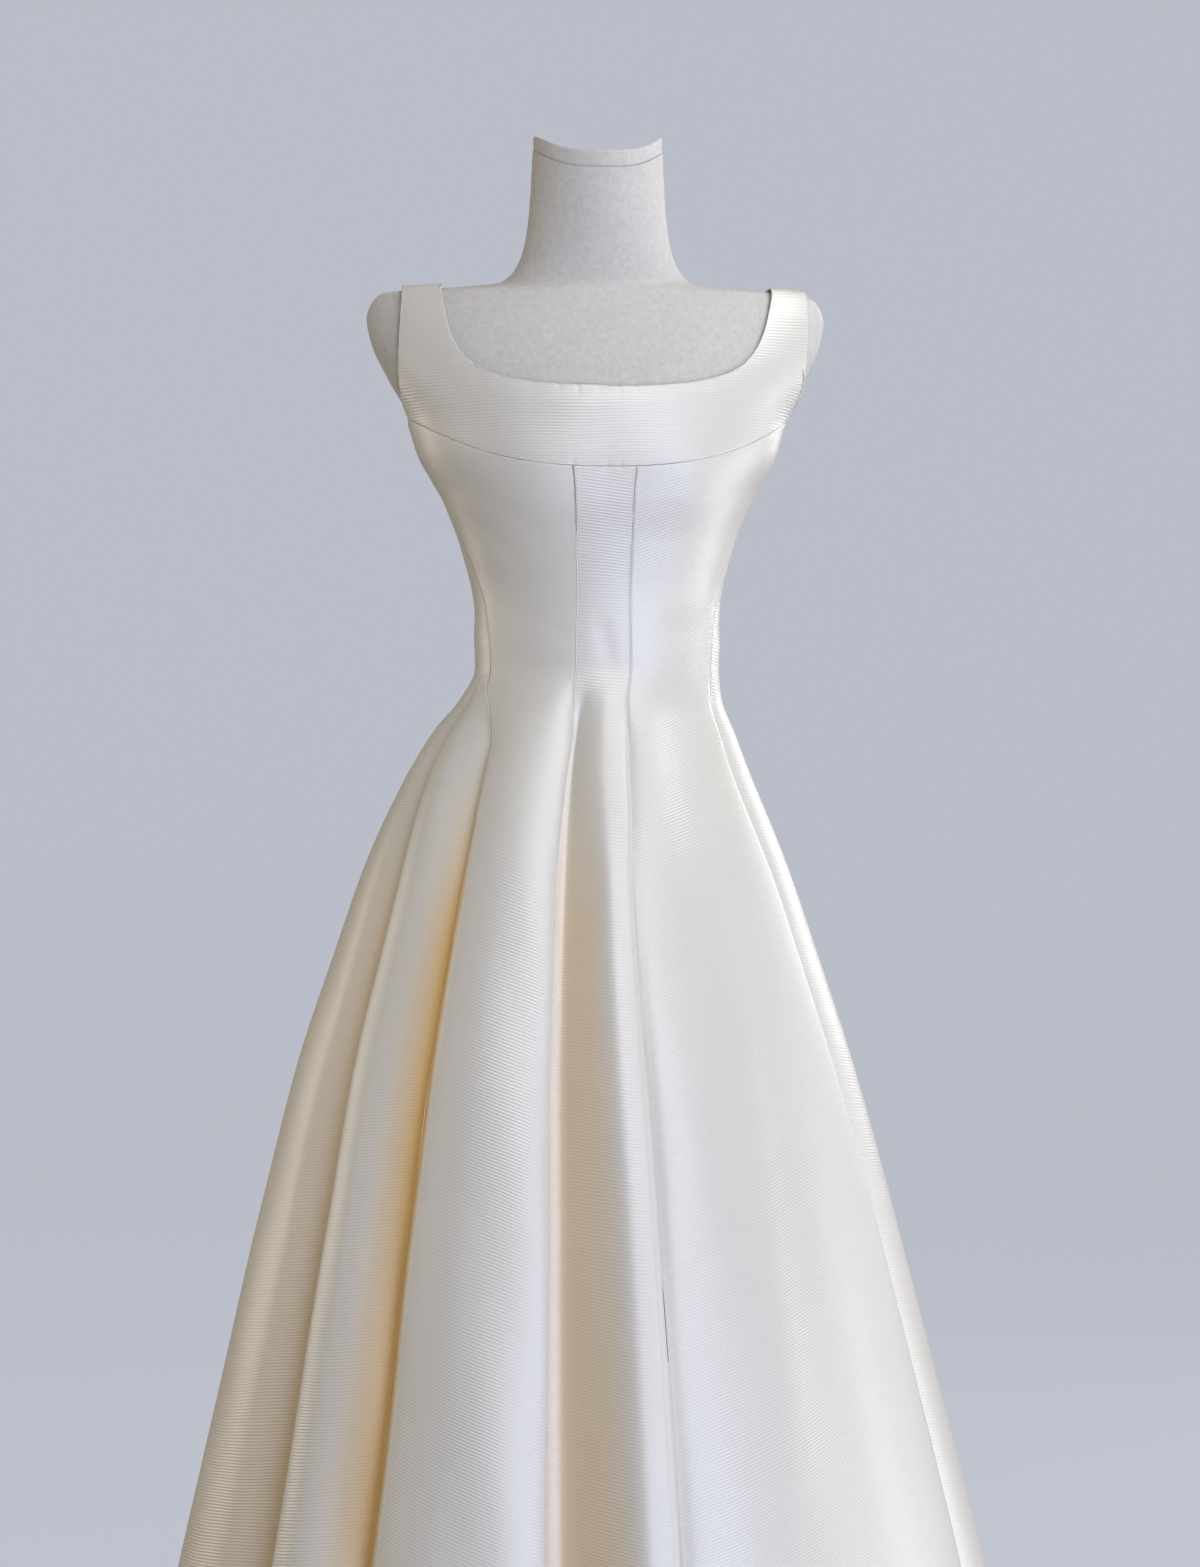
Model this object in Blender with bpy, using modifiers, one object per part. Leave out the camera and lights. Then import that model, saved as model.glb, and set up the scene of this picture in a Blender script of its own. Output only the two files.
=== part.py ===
"""Prom dress with wide straps on a limbless dress form, which stands on a pole and a round base.

Metres, +Z up. The dress faces -Y, the pole stands at X = Y = 0 and the floor is Z = 0.
Angles run round the figure from the front, 0, towards +X, 90, to the back, 180 or -180.
Each piece of cloth is one wall: points of the dress's surface, and the same points moved out.
"""
import math
from collections import namedtuple

import bmesh
import bpy
import numpy as np

CLOTH = 0.0015              # thickness of satin with its backing
SEAM_GAP = 0.0003           # between two pieces that are sewn together
STRAP_EASE = 0.0006         # between the form and a strap that rests on it
BODICE_EASE = 0.0034        # between the form and the fitted bodice
STRAP_EASE_FROM = 1.4505    # above this height the cloth rests on the form
BODICE_EASE_FROM = 1.4455   # below this height it has the bodice's ease

# The form: a section at each height, with its reach to the front and back from the pole's axis,
# the Y of its widest line, and how square it is (2 is an ellipse).
Section = namedtuple("Section", "height half_width front back side squareness")
FIGURE = [
    Section(0.8000, 0.1340, 0.090, 0.102, 0.006, 2.2),
    Section(0.8400, 0.1390, 0.094, 0.111, 0.006, 2.2),
    Section(0.9000, 0.1350, 0.093, 0.113, 0.006, 2.2),
    Section(0.9700, 0.1210, 0.087, 0.102, 0.004, 2.2),
    Section(1.0400, 0.1105, 0.083, 0.087, 0.002, 2.2),
    Section(1.1070, 0.1115, 0.085, 0.082, 0.000, 2.2),
    Section(1.1470, 0.1122, 0.087, 0.081, 0.000, 2.2),
    Section(1.2030, 0.1242, 0.096, 0.085, 0.000, 2.3),
    Section(1.2500, 0.1424, 0.107, 0.093, 0.000, 2.3),
    Section(1.2900, 0.1647, 0.112, 0.101, 0.002, 2.3),
    Section(1.3260, 0.1768, 0.111, 0.107, 0.004, 2.2),
    Section(1.3645, 0.1985, 0.102, 0.110, 0.006, 2.1),
    Section(1.4030, 0.2158, 0.084, 0.104, 0.008, 1.9),
    Section(1.4220, 0.2188, 0.073, 0.094, 0.008, 1.8),
    Section(1.4360, 0.2140, 0.064, 0.084, 0.006, 1.7),
    Section(1.4450, 0.2040, 0.058, 0.074, 0.004, 1.6),
    Section(1.4495, 0.1500, 0.054, 0.068, 0.002, 1.6),
    Section(1.4550, 0.0950, 0.053, 0.062, 0.000, 1.8),
    Section(1.4670, 0.0793, 0.054, 0.060, -0.002, 2.0),
    Section(1.4940, 0.0687, 0.058, 0.056, -0.004, 2.0),
    Section(1.5220, 0.0646, 0.061, 0.053, -0.006, 2.0),
    Section(1.5665, 0.0618, 0.064, 0.048, -0.008, 2.0),
]
BUST_RISE = 0.006
BUST_ACROSS = 0.085
BUST_HEIGHT = 1.262
BUST_SPREAD = 0.046
NECK_FROM = 1.480           # where the neck starts to dish
NECK_TOP = 1.5665
NECK_LIFT = -0.0085         # its middle, against that height
DISH_RISE = 0.0210          # how much higher the neck's top is at its two sides
DISH_POWER = 3.0
CAP_THICK = 0.0160
CAP_SCALE = 0.985
LID_SHARES = (0.8, 0.45)    # inner rings of the dished faces
LID_SINK = 0.0030           # the form's top is lower than the cap inside the cap's rim
CAP_EDGE = 0.0015
FORM_COLUMNS = 34

# The skirt's outside at its fold crests: half width, reach to front and back, and sideways shift.
Flare = namedtuple("Flare", "height half_width front back shift squareness")
SKIRT = [
    Flare(0.0200, 0.4390, 0.428, 0.452, -0.017, 2.0),
    Flare(0.2788, 0.3767, 0.362, 0.384, -0.018, 2.0),
    Flare(0.4312, 0.3395, 0.322, 0.342, -0.019, 2.0),
    Flare(0.5836, 0.3010, 0.282, 0.298, -0.021, 2.0),
    Flare(0.7169, 0.2652, 0.243, 0.256, -0.022, 2.0),
    Flare(0.8217, 0.2305, 0.208, 0.218, -0.022, 2.0),
    Flare(0.9074, 0.2000, 0.176, 0.184, -0.021, 2.0),
    Flare(0.9836, 0.1667, 0.137, 0.146, -0.018, 2.0),
    Flare(1.0310, 0.1424, 0.110, 0.118, -0.012, 2.05),
    Flare(1.0580, 0.1255, 0.097, 0.101, -0.006, 2.1),
]
HEM = 0.020
THIGH = 0.870
HIP = 1.015
HIP_SHARE = 0.80            # how much of the thigh's fold depth is there at the hip
FOLDS_FROM = 1.082          # the front seams are released here
RELEASE = 1.090             # below this the cloth leaves the form
FIT_MARKS = (1.130, 1.110, RELEASE)

# Folds round the skirt, in order. Angles in degrees at the waist, hip, thigh and hem, and how far
# in from the crests, in millimetres, at the thigh and hem. Rows named seam lie under a seam.
Fold = namedtuple("Fold", "name waist hip thigh hem thigh_inset hem_inset")
FOLDS = [
    Fold("seam centre back", -180.0, -180.0, -180.0, -180.0, 18, 50),
    Fold("left back edge", -172.0, -172.0, -172.5, -173.0, 6, 16),
    Fold("left back crest", -163.0, -163.5, -164.0, -165.0, 0, 0),
    Fold("left back hollow", -152.0, -152.0, -152.0, -151.0, 16, 44),
    Fold("left back second crest", -140.0, -139.5, -139.0, -138.0, 0, 0),
    Fold("left back second edge", -130.0, -129.5, -129.0, -128.0, 6, 12),
    Fold("seam left side back", -125.0, -125.5, -126.0, -127.0, 15, 42),
    Fold("left side back hollow", -120.0, -120.5, -121.0, -121.0, 18, 50),
    Fold("left side back crest", -109.0, -108.0, -107.0, -106.0, 0, 0),
    Fold("left side hollow", -99.0, -97.5, -96.0, -95.0, 12, 32),
    Fold("left side crest", -89.0, -86.0, -83.0, -80.0, 0, 0),
    Fold("left side edge", -81.0, -76.5, -70.0, -65.0, 2, 6),
    Fold("left side slope", -77.5, -71.0, -63.0, -58.0, 10, 30),
    Fold("left outer hollow", -74.5, -68.5, -59.5, -54.5, 14, 44),
    Fold("left outer edge", -72.0, -66.0, -57.0, -51.5, 5, 12),
    Fold("left outer crest", -69.5, -58.0, -49.0, -46.0, 0, 1),
    Fold("left outer slope", -67.0, -48.0, -42.0, -41.5, 8, 22),
    Fold("left inner hollow", -65.0, -42.0, -37.0, -37.6, 15, 46),
    Fold("seam left side front", -62.5, -39.0, -35.0, -35.8, 10, 28),
    Fold("left front edge", -54.0, -36.0, -32.5, -34.0, 5, 12),
    Fold("left front crest", -34.0, -26.0, -24.5, -26.5, 0, 0),
    Fold("left front turn", -20.0, -14.5, -15.5, -15.5, 5, 13),
    Fold("left front lip", -15.0, -8.6, -9.6, -8.9, 14, 33),
    Fold("seam left centre front", -12.2, -8.6, -10.0, -9.8, 22, 55),
    Fold("centre hollow", -7.5, -6.2, -6.8, -6.8, 26, 66),
    Fold("centre rise", -2.5, -2.4, -0.8, -0.6, 14, 40),
    Fold("centre ridge", 3.0, 4.4, 5.4, 5.2, 2, 8),
    Fold("centre edge", 8.0, 11.2, 9.4, 8.3, 2, 7),
    Fold("seam right centre front", 10.6, 13.8, 11.0, 9.6, 6, 13),
    Fold("right front start", 13.5, 17.0, 14.2, 12.0, 3, 9),
    Fold("right front swell", 22.0, 25.0, 24.0, 16.0, 1, 6),
    Fold("right front crease", 30.0, 33.0, 33.5, 20.0, 1, 3),
    Fold("right front flat", 38.0, 40.0, 39.5, 31.0, 2, 8),
    Fold("right front crest", 48.0, 48.5, 49.0, 45.0, 1, 6),
    Fold("right front edge", 58.0, 57.5, 60.5, 65.0, 0, 2),
    Fold("seam right side front", 62.5, 60.0, 62.5, 66.3, 14, 40),
    Fold("right side hollow", 67.0, 64.5, 66.0, 68.8, 19, 52),
    Fold("right side slope", 73.0, 71.0, 71.0, 72.5, 8, 22),
    Fold("right side crest", 84.0, 83.5, 83.0, 82.0, 0, 0),
    Fold("right side far slope", 95.0, 95.0, 95.0, 94.0, 5, 14),
    Fold("right side second hollow", 102.0, 102.5, 103.0, 103.0, 16, 46),
    Fold("right side back crest", 114.0, 114.5, 115.0, 115.0, 0, 0),
    Fold("right side back edge", 122.0, 122.3, 122.5, 123.0, 5, 12),
    Fold("seam right side back", 125.0, 125.5, 126.0, 126.5, 14, 40),
    Fold("right back hollow", 130.0, 130.5, 131.0, 131.5, 19, 54),
    Fold("right back crest", 144.0, 144.5, 145.0, 145.0, 0, 0),
    Fold("right back second hollow", 156.0, 156.5, 157.0, 158.0, 12, 36),
    Fold("right back second crest", 167.0, 167.5, 168.0, 169.0, 1, 4),
]
COLUMNS_PER_FOLD = 3
PLAN_DETAIL = 16            # samples of the plan curve from one fold row to the next
PLAN_SOFTNESS = 4.5         # samples over which its corners are eased
SLOPE_STEP = 0.004          # height over which the skirt's slope is read
SKIRT_ROWS = (RELEASE, 1.05, 1.005, 0.945, THIGH, 0.76, 0.60, 0.36, HEM)
BODICE_SHARES = (0.0, 0.25, 0.5, 0.75)

# Where the front seams lie, by their angle at the waist and at the top of the bodice
SEAM_FANS = ((0.0, 0.0), (11.4, 8.6), (62.5, 84.0), (125.0, 118.0), (180.0, 180.0))
FAN_FROM = RELEASE
FAN_TO = 1.270

# The yoke seam, the underarm and the back, where they meet the bodice
YOKE_LOW = 1.2741           # height of the yoke seam at the centre front
YOKE_CORNER = 1.3253        # and at the armhole
YOKE_CORNER_X = 0.1757
YOKE_CURVE = 2.7
UNDERARM_DIP = 0.006
BACK_CORNER = 1.3300
BACK_LOW = 1.2900
BACK_CURVE = 2.5
FRONT_CORNER_ANGLE = 84.0
BACK_CORNER_ANGLE = 118.0

# Edges of half the front and back: across from the centre, and down from the shoulder.
EdgePoint = namedtuple("EdgePoint", "across drop")
NECKLINE = [
    EdgePoint(0.1560, 0.0000),
    EdgePoint(0.1550, 0.0100),
    EdgePoint(0.1505, 0.0320),
    EdgePoint(0.1430, 0.0550),
    EdgePoint(0.1290, 0.0750),
    EdgePoint(0.1060, 0.0885),
    EdgePoint(0.0750, 0.0965),
    EdgePoint(0.0380, 0.1005),
    EdgePoint(0.0000, 0.1015),
]
ARMHOLE = [
    EdgePoint(0.1915, 0.0000),
    EdgePoint(0.1915, 0.0120),
    EdgePoint(0.1915, 0.0360),
    EdgePoint(0.1900, 0.0700),
    EdgePoint(0.1840, 0.1030),
    EdgePoint(0.1755, 0.1225),
]
BACK_NECKLINE = [
    EdgePoint(0.1560, 0.0000),
    EdgePoint(0.1545, 0.0120),
    EdgePoint(0.1480, 0.0340),
    EdgePoint(0.1340, 0.0560),
    EdgePoint(0.1060, 0.0720),
    EdgePoint(0.0650, 0.0790),
    EdgePoint(0.0000, 0.0810),
]
BACK_ARMHOLE = [
    EdgePoint(0.1915, 0.0000),
    EdgePoint(0.1900, 0.0120),
    EdgePoint(0.1840, 0.0400),
    EdgePoint(0.1740, 0.0800),
    EdgePoint(0.1630, 0.1160),
]
HANG_SHIFT = 0.007          # the straps sit this far towards +X on the form
STRAP_DROP = 0.1225
STRAP_RUNGS = 9
STRAP_CROWDING = 1.6        # rungs lie closer together over the shoulder
CORNER_SHARE = 0.34         # share of the neckline that belongs to the strap
RUNG_CELLS = 4
ROOT_SCALE = 0.3            # keeps an edge's steps even where it runs over the shoulder

# The stand
FORM_BOTTOM = FIGURE[0].height
BASE_RADIUS = 0.190
BASE_EDGE = 0.008
BASE_TOP = 0.016
POLE_RADIUS = 0.0125
FLANGE_RADIUS = 0.045
FLANGE_THICK = 0.006
TURNED_STEPS = 40

SATIN = ("ivory_satin", (0.80, 0.77, 0.70), 0.42, 0.0)
CANVAS = ("form_canvas", (0.72, 0.71, 0.68), 0.85, 0.0)
CAP_COVER = ("cap_canvas", (0.76, 0.75, 0.72), 0.80, 0.0)
STEEL = ("brushed_steel", (0.55, 0.55, 0.56), 0.35, 1.0)


def smooth(knots, rows, places):
    """Read a smooth curve through the rows, which never swings past them, at the places."""
    knots = np.asarray(knots, float)
    rows = np.asarray(rows, float).reshape(len(knots), -1)
    places = np.atleast_1d(np.asarray(places, float))
    width = np.diff(knots)[:, None]
    slope = np.diff(rows, axis=0) / width
    before, after = slope[:-1], slope[1:]
    same_way = before * after > 0
    early = 2 * width[1:] + width[:-1]
    late = width[1:] + 2 * width[:-1]
    spread = early / np.where(same_way, before, 1.0) + late / np.where(same_way, after, 1.0)
    inner = np.where(same_way, (early + late) / np.where(same_way, spread, 1.0), 0.0)
    tangent = np.vstack((slope[:1], inner, slope[-1:]))
    step = np.clip(np.searchsorted(knots, places, side="right") - 1, 0, len(knots) - 2)
    gap = width[step]
    share = np.clip((places[:, None] - knots[step][:, None]) / gap, 0.0, 1.0)
    start = (1 + 2 * share) * (1 - share) ** 2 * rows[step]
    end = share ** 2 * (3 - 2 * share) * rows[step + 1]
    leave = share * (1 - share) ** 2 * gap * tangent[step]
    arrive = share ** 2 * (share - 1) * gap * tangent[step + 1]
    return start + end + leave + arrive


def blend(low, high, value):
    """0 at low, 1 at high, with an eased change between."""
    share = np.clip((value - low) / (high - low), 0.0, 1.0)
    return share * share * (3 - 2 * share)


def signed_power(value, power):
    return np.sign(value) * np.abs(value) ** power


def unit(vectors):
    return vectors / np.linalg.norm(vectors, axis=-1, keepdims=True)


def outward(surface, first, second, first_step, second_step):
    """The way out of a surface, from its slopes in both directions."""
    along = surface(first + first_step, second) - surface(first - first_step, second)
    up = surface(first, second + second_step) - surface(first, second - second_step)
    return unit(np.cross(along, up))


# The form's surface is read by an angle and a place on a tape that runs up its side.
FIGURE_ROWS = np.array(FIGURE)
SIDE_STEPS = np.hypot(np.diff(FIGURE_ROWS[:, 0]), np.diff(FIGURE_ROWS[:, 1]))
FIGURE_TAPE = np.concatenate(([0.0], np.cumsum(SIDE_STEPS)))
FINE_TAPE = np.linspace(0.0, FIGURE_TAPE[-1], 1201)
FINE_ROWS = smooth(FIGURE_TAPE, FIGURE_ROWS, FINE_TAPE)
WIDEST = int(np.argmax(FINE_ROWS[:, 1]))


def tape_at(height):
    return np.interp(height, FINE_ROWS[:, 0], FINE_TAPE)


def tape_on_shoulder(across):
    """Place on the tape where the top of the shoulder is this far across."""
    return np.interp(-across, -FINE_ROWS[WIDEST:, 1], FINE_TAPE[WIDEST:])


def figure_at(tape):
    """The columns of the figure's table at places on the tape."""
    rows = smooth(FIGURE_TAPE, FIGURE_ROWS, np.ravel(tape))
    return [column.reshape(np.shape(tape)) for column in rows.T]


def skin(angle, tape):
    """Points on the form."""
    height, wide, front, back, side, squareness = figure_at(tape)
    across = wide * signed_power(np.sin(angle), 2 / squareness)
    facing = np.cos(angle)
    depth = np.where(facing > 0, front + side, back - side)
    away = side - depth * signed_power(facing, 2 / squareness)
    over = ((np.abs(across) - BUST_ACROSS) / BUST_SPREAD) ** 2
    over = over + ((height - BUST_HEIGHT) / BUST_SPREAD) ** 2
    away = away - BUST_RISE * np.exp(-over) * np.clip(facing, 0.0, 1.0)
    return np.stack((across, away, height), axis=-1)


def fitted(angle, tape):
    """Inner and outer points of cloth that follows the form."""
    base = skin(angle, tape)
    out = outward(skin, angle, tape, 0.002, 0.001)
    share = blend(BODICE_EASE_FROM, STRAP_EASE_FROM, base[..., 2])
    ease = BODICE_EASE + (STRAP_EASE - BODICE_EASE) * share
    return base + out * ease[..., None], base + out * (ease + CLOTH)[..., None]


# The plan of the skirt: u counts the rows of the fold table, and comes round to its start.
FOLD_COUNT = len(FOLDS)
PLAN_U = np.arange(FOLD_COUNT * PLAN_DETAIL + 1) / PLAN_DETAIL


def round_and_round(column, turn):
    """A column of the fold table with three rows of the turns before and after."""
    return np.concatenate((column[-3:] - turn, column, column[:4] + turn))


def eased(curve, turn):
    """A closed curve with its corners softened."""
    reach = int(3 * PLAN_SOFTNESS)
    weights = np.exp(-0.5 * (np.arange(-reach, reach + 1) / PLAN_SOFTNESS) ** 2)
    once = curve[:-1]
    longer = np.concatenate((once[-reach:] - turn, once, once[:reach] + turn))
    soft = np.convolve(longer, weights / weights.sum(), mode="valid")
    return np.append(soft, soft[0] + turn)


def plan(height):
    """Angle and inset of the skirt at one height, all round."""
    columns = np.array([fold[1:] for fold in FOLDS], float).T
    waist, hip, thigh, hem, thigh_inset, hem_inset = columns
    angles = (hem, thigh, hip, waist, waist)
    angles = smooth((HEM, THIGH, HIP, RELEASE, FIT_MARKS[0]), angles, height)[0]
    insets = (hem_inset, thigh_inset, HIP_SHARE * thigh_inset, 0 * waist, 0 * waist)
    insets = smooth((HEM, THIGH, HIP, FOLDS_FROM, RELEASE), insets, height)[0] / 1000
    knots = np.arange(-3, FOLD_COUNT + 4)
    columns = (round_and_round(angles, 360.0), round_and_round(insets, 0.0))
    angle, inset = smooth(knots, np.transpose(columns), PLAN_U).T
    return np.radians(eased(angle, 360.0)), eased(inset, 0.0)


def flare_rows():
    """The skirt's inner sizes, from the hem up to where it joins the fitted bodice."""
    rows = []
    for flare in SKIRT:
        sizes = (flare.half_width - CLOTH, flare.front - CLOTH, flare.back - CLOTH)
        rows.append((flare.height, *sizes, flare.shift, flare.squareness))
    for height in reversed(FIT_MARKS):
        _, wide, front, back, side, squareness = figure_at(tape_at(height))
        sizes = (wide + BODICE_EASE, front + BODICE_EASE, back + BODICE_EASE)
        rows.append((height, *sizes, 0.0, squareness))
    return np.array(rows)


FLARE_ROWS = flare_rows()


def skirt(u, height):
    """Inner points of the skirt at one height."""
    plan_angle, plan_inset = plan(height)
    wrapped = np.mod(u, FOLD_COUNT)
    angle = np.interp(wrapped, PLAN_U, plan_angle)
    inset = np.interp(wrapped, PLAN_U, plan_inset)
    sizes = smooth(FLARE_ROWS[:, 0], FLARE_ROWS[:, 1:], height)[0]
    wide, front, back, shift, squareness = sizes
    across = wide * signed_power(np.sin(angle), 2 / squareness)
    facing = np.cos(angle)
    away = -np.where(facing > 0, front, back) * signed_power(facing, 2 / squareness)
    reach = 1 - inset / np.hypot(across, away)
    return np.stack((shift + across * reach, away * reach, 0 * u + height), axis=-1)


WAIST_ANGLE = plan(RELEASE)[0]


def fan_angle(u, height):
    """Angle of a place u above the waist, where the seams spread towards the armholes."""
    low = np.interp(u, PLAN_U, WAIST_ANGLE)
    waist, top = np.radians(np.array(SEAM_FANS)).T
    high = np.sign(low) * smooth(waist, top, np.abs(low))[:, 0]
    return low + (high - low) * blend(FAN_FROM, FAN_TO, height)


def top_height(u):
    """Height where each column of a panel starts: yoke seam, underarm or back."""
    angle = np.degrees(np.abs(fan_angle(u, FAN_TO)))
    height = np.full(len(u), YOKE_LOW)
    for _ in range(12):
        across = np.abs(skin(np.radians(angle), tape_at(height))[:, 0])
        share = np.clip(across / YOKE_CORNER_X, 0.0, 1.0)
        height = YOKE_LOW + (YOKE_CORNER - YOKE_LOW) * share ** YOKE_CURVE
    along = np.clip((angle - FRONT_CORNER_ANGLE) / (BACK_CORNER_ANGLE - FRONT_CORNER_ANGLE), 0, 1)
    underarm = YOKE_CORNER + (BACK_CORNER - YOKE_CORNER) * along
    underarm = underarm - 4 * UNDERARM_DIP * along * (1 - along)
    inward = np.clip((180.0 - angle) / (180.0 - BACK_CORNER_ANGLE), 0.0, 1.0)
    back = BACK_LOW + (BACK_CORNER - BACK_LOW) * inward ** BACK_CURVE
    height = np.where(angle >= FRONT_CORNER_ANGLE - 0.01, underarm, height)
    return np.where(angle > BACK_CORNER_ANGLE + 0.01, back, height)


def seam_u(name):
    return [fold.name for fold in FOLDS].index("seam " + name)


def columns_between(first, last):
    """Places u of a panel's columns. A panel may run past the end of the fold table."""
    if last <= first:
        last += FOLD_COUNT
    count = (last - first) * COLUMNS_PER_FOLD + 1
    return np.linspace(first, last, count)


def bodice_rows(u):
    """Inner and outer points of the fitted rows, from the top of the panel down."""
    rows = []
    top = top_height(u)
    for share in BODICE_SHARES:
        height = top + (RELEASE - top) * share
        rows.append(fitted(fan_angle(u, height), tape_at(height)))
    return rows


def skirt_rows(u):
    """Inner and outer points of the rows below the release."""
    rows = []
    for height in SKIRT_ROWS:
        inner = skirt(u, height)
        along = skirt(u + 1 / PLAN_DETAIL, height) - skirt(u - 1 / PLAN_DETAIL, height)
        up = skirt(u, height + SLOPE_STEP) - skirt(u, height - SLOPE_STEP)
        rows.append((inner, inner + unit(np.cross(along, up)) * CLOTH))
    return rows


def part_seams(inner, outer, first, last):
    """Move a panel's two long edges in by half a seam gap."""
    for column, neighbour, wanted in ((0, 1, first), (-1, -2, last)):
        if wanted:
            step = unit(inner[:, neighbour] - inner[:, column]) * SEAM_GAP / 2
            inner[:, column] += step
            outer[:, column] += step


def panel_patch(u, gap_on_top):
    """A panel's points from its top to the hem."""
    rows = bodice_rows(u) + skirt_rows(u)
    inner = np.array([row[0] for row in rows])
    outer = np.array([row[1] for row in rows])
    if gap_on_top:
        step = unit(inner[1] - inner[0]) * SEAM_GAP / 2
        inner[0] += step
        outer[0] += step
    part_seams(inner, outer, True, True)
    return inner, outer


def edge_path(points, hand, behind):
    """An edge as angles and tape places, in even steps, from the shoulder seam on."""
    across = np.array([point.across for point in points])
    root = np.sqrt([point.drop for point in points]) * ROOT_SCALE
    knots = np.concatenate(([0.0], np.cumsum(np.hypot(np.diff(across), np.diff(root)))))
    fine = smooth(knots, np.stack((across, root), axis=-1), np.linspace(0.0, knots[-1], 241))
    drop = (fine[:, 1] / ROOT_SCALE) ** 2
    hang = hand * HANG_SHIFT * (1 - drop / STRAP_DROP) * fine[:, 0] / fine[0, 0]
    across = fine[:, 0] + hang
    shoulder = FINE_ROWS[WIDEST:]
    start = np.interp(-across[0], -shoulder[:, 1], shoulder[:, 0])
    tape = tape_at(start - drop)
    tape[0] = tape_on_shoulder(across[0])
    _, wide, _, _, _, squareness = figure_at(tape)
    angle = np.arcsin(np.clip(across / wide, 0.0, 1.0) ** (squareness / 2))
    angle[0] = math.pi / 2
    angle = math.pi - angle if behind else angle
    return hand * angle, tape


def along_path(path, shares):
    """Places on a path at shares of its length."""
    angle, tape = path
    points = skin(angle, tape)
    length = np.concatenate(([0.0], np.cumsum(np.linalg.norm(np.diff(points, axis=0), axis=1))))
    where = np.asarray(shares) * length[-1]
    return np.interp(where, length, angle), np.interp(where, length, tape)


def half_rungs(neckline, armhole, u, hand, behind):
    """Rung ends of half a front or back: strap first, then on to the centre."""
    neck = edge_path(neckline, hand, behind)
    arm = edge_path(armhole, hand, behind)
    panel_angle = fan_angle(u, FAN_TO)
    panel_tape = tape_at(top_height(u))
    arm[0][-1] = panel_angle[0]
    arm[1][-1] = panel_tape[0]
    strap = (np.arange(STRAP_RUNGS + 1) / STRAP_RUNGS) ** STRAP_CROWDING
    strap_outer = along_path(arm, strap)
    points = skin(panel_angle, panel_tape)
    steps = np.cumsum(np.linalg.norm(np.diff(points, axis=0), axis=1))
    inner_shares = np.concatenate((strap * CORNER_SHARE,
                                   CORNER_SHARE + (1 - CORNER_SHARE) * steps / steps[-1]))
    inner = along_path(neck, inner_shares)
    outer = (np.concatenate((strap_outer[0], panel_angle[1:])),
             np.concatenate((strap_outer[1], panel_tape[1:])))
    return inner, outer


def rung_patch(inner_ends, outer_ends):
    """Points across every rung, from the neckline out."""
    share = np.linspace(0.0, 1.0, RUNG_CELLS + 1)[:, None]
    angle = inner_ends[0] + (outer_ends[0] - inner_ends[0]) * share
    tape = inner_ends[1] + (outer_ends[1] - inner_ends[1]) * share
    return fitted(angle, tape)


def part_row(inner, outer, row, neighbour, columns):
    """Move part of an edge in by half a seam gap, towards its neighbour row."""
    step = unit(inner[neighbour, columns] - inner[row, columns]) * SEAM_GAP / 2
    inner[row, columns] += step
    outer[row, columns] += step


def front_yoke_patch():
    """The whole yoke with both front straps, from the left shoulder seam to the right."""
    u = columns_between(seam_u("left side front"), seam_u("right side front"))
    angle = fan_angle(u, FAN_TO)
    left = u[angle <= 0]
    right = u[angle >= 0][::-1]
    left_inner, left_outer = half_rungs(NECKLINE, ARMHOLE, left, -1, False)
    right_inner, right_outer = half_rungs(NECKLINE, ARMHOLE, right, 1, False)
    inner_ends = [np.concatenate((a, b[::-1])) for a, b in zip(left_inner, right_inner)]
    outer_ends = [np.concatenate((a, b[::-1])) for a, b in zip(left_outer, right_outer)]
    inner, outer = rung_patch(inner_ends, outer_ends)
    part_row(inner, outer, -1, -2, slice(STRAP_RUNGS, -STRAP_RUNGS))
    part_seams(inner, outer, True, True)
    return inner, outer


def back_patch(u, hand):
    """The strap and upper back of one side, without the panel below it."""
    ordered = u if hand > 0 else u[::-1]
    inner_ends, outer_ends = half_rungs(BACK_NECKLINE, BACK_ARMHOLE, ordered, hand, True)
    inner, outer = rung_patch(inner_ends, outer_ends)
    part_seams(inner, outer, True, True)
    if hand < 0:
        inner, outer = inner[:, ::-1], outer[:, ::-1]
    return inner, outer


def plain_material(spec):
    """A Principled BSDF material from its name, colour, roughness and metallic value."""
    name, colour, roughness, metallic = spec
    material = bpy.data.materials.get(name) or bpy.data.materials.new(name)
    material.use_nodes = True
    material.diffuse_color = (*colour, 1.0)
    shader = material.node_tree.nodes["Principled BSDF"]
    shader.inputs["Base Color"].default_value = (*colour, 1.0)
    shader.inputs["Roughness"].default_value = roughness
    shader.inputs["Metallic"].default_value = metallic
    return material


def add_object(name, mesh, spec, collection):
    mesh.materials.append(plain_material(spec))
    thing = bpy.data.objects.new(name, mesh)
    collection.objects.link(thing)
    return thing


def mesh_from(name, bm, sharp_angle=math.radians(40)):
    mesh = bpy.data.meshes.new(name)
    bm.to_mesh(mesh)
    bm.free()
    mesh.shade_smooth()
    mesh.set_sharp_from_angle(angle=sharp_angle)
    return mesh


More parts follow.
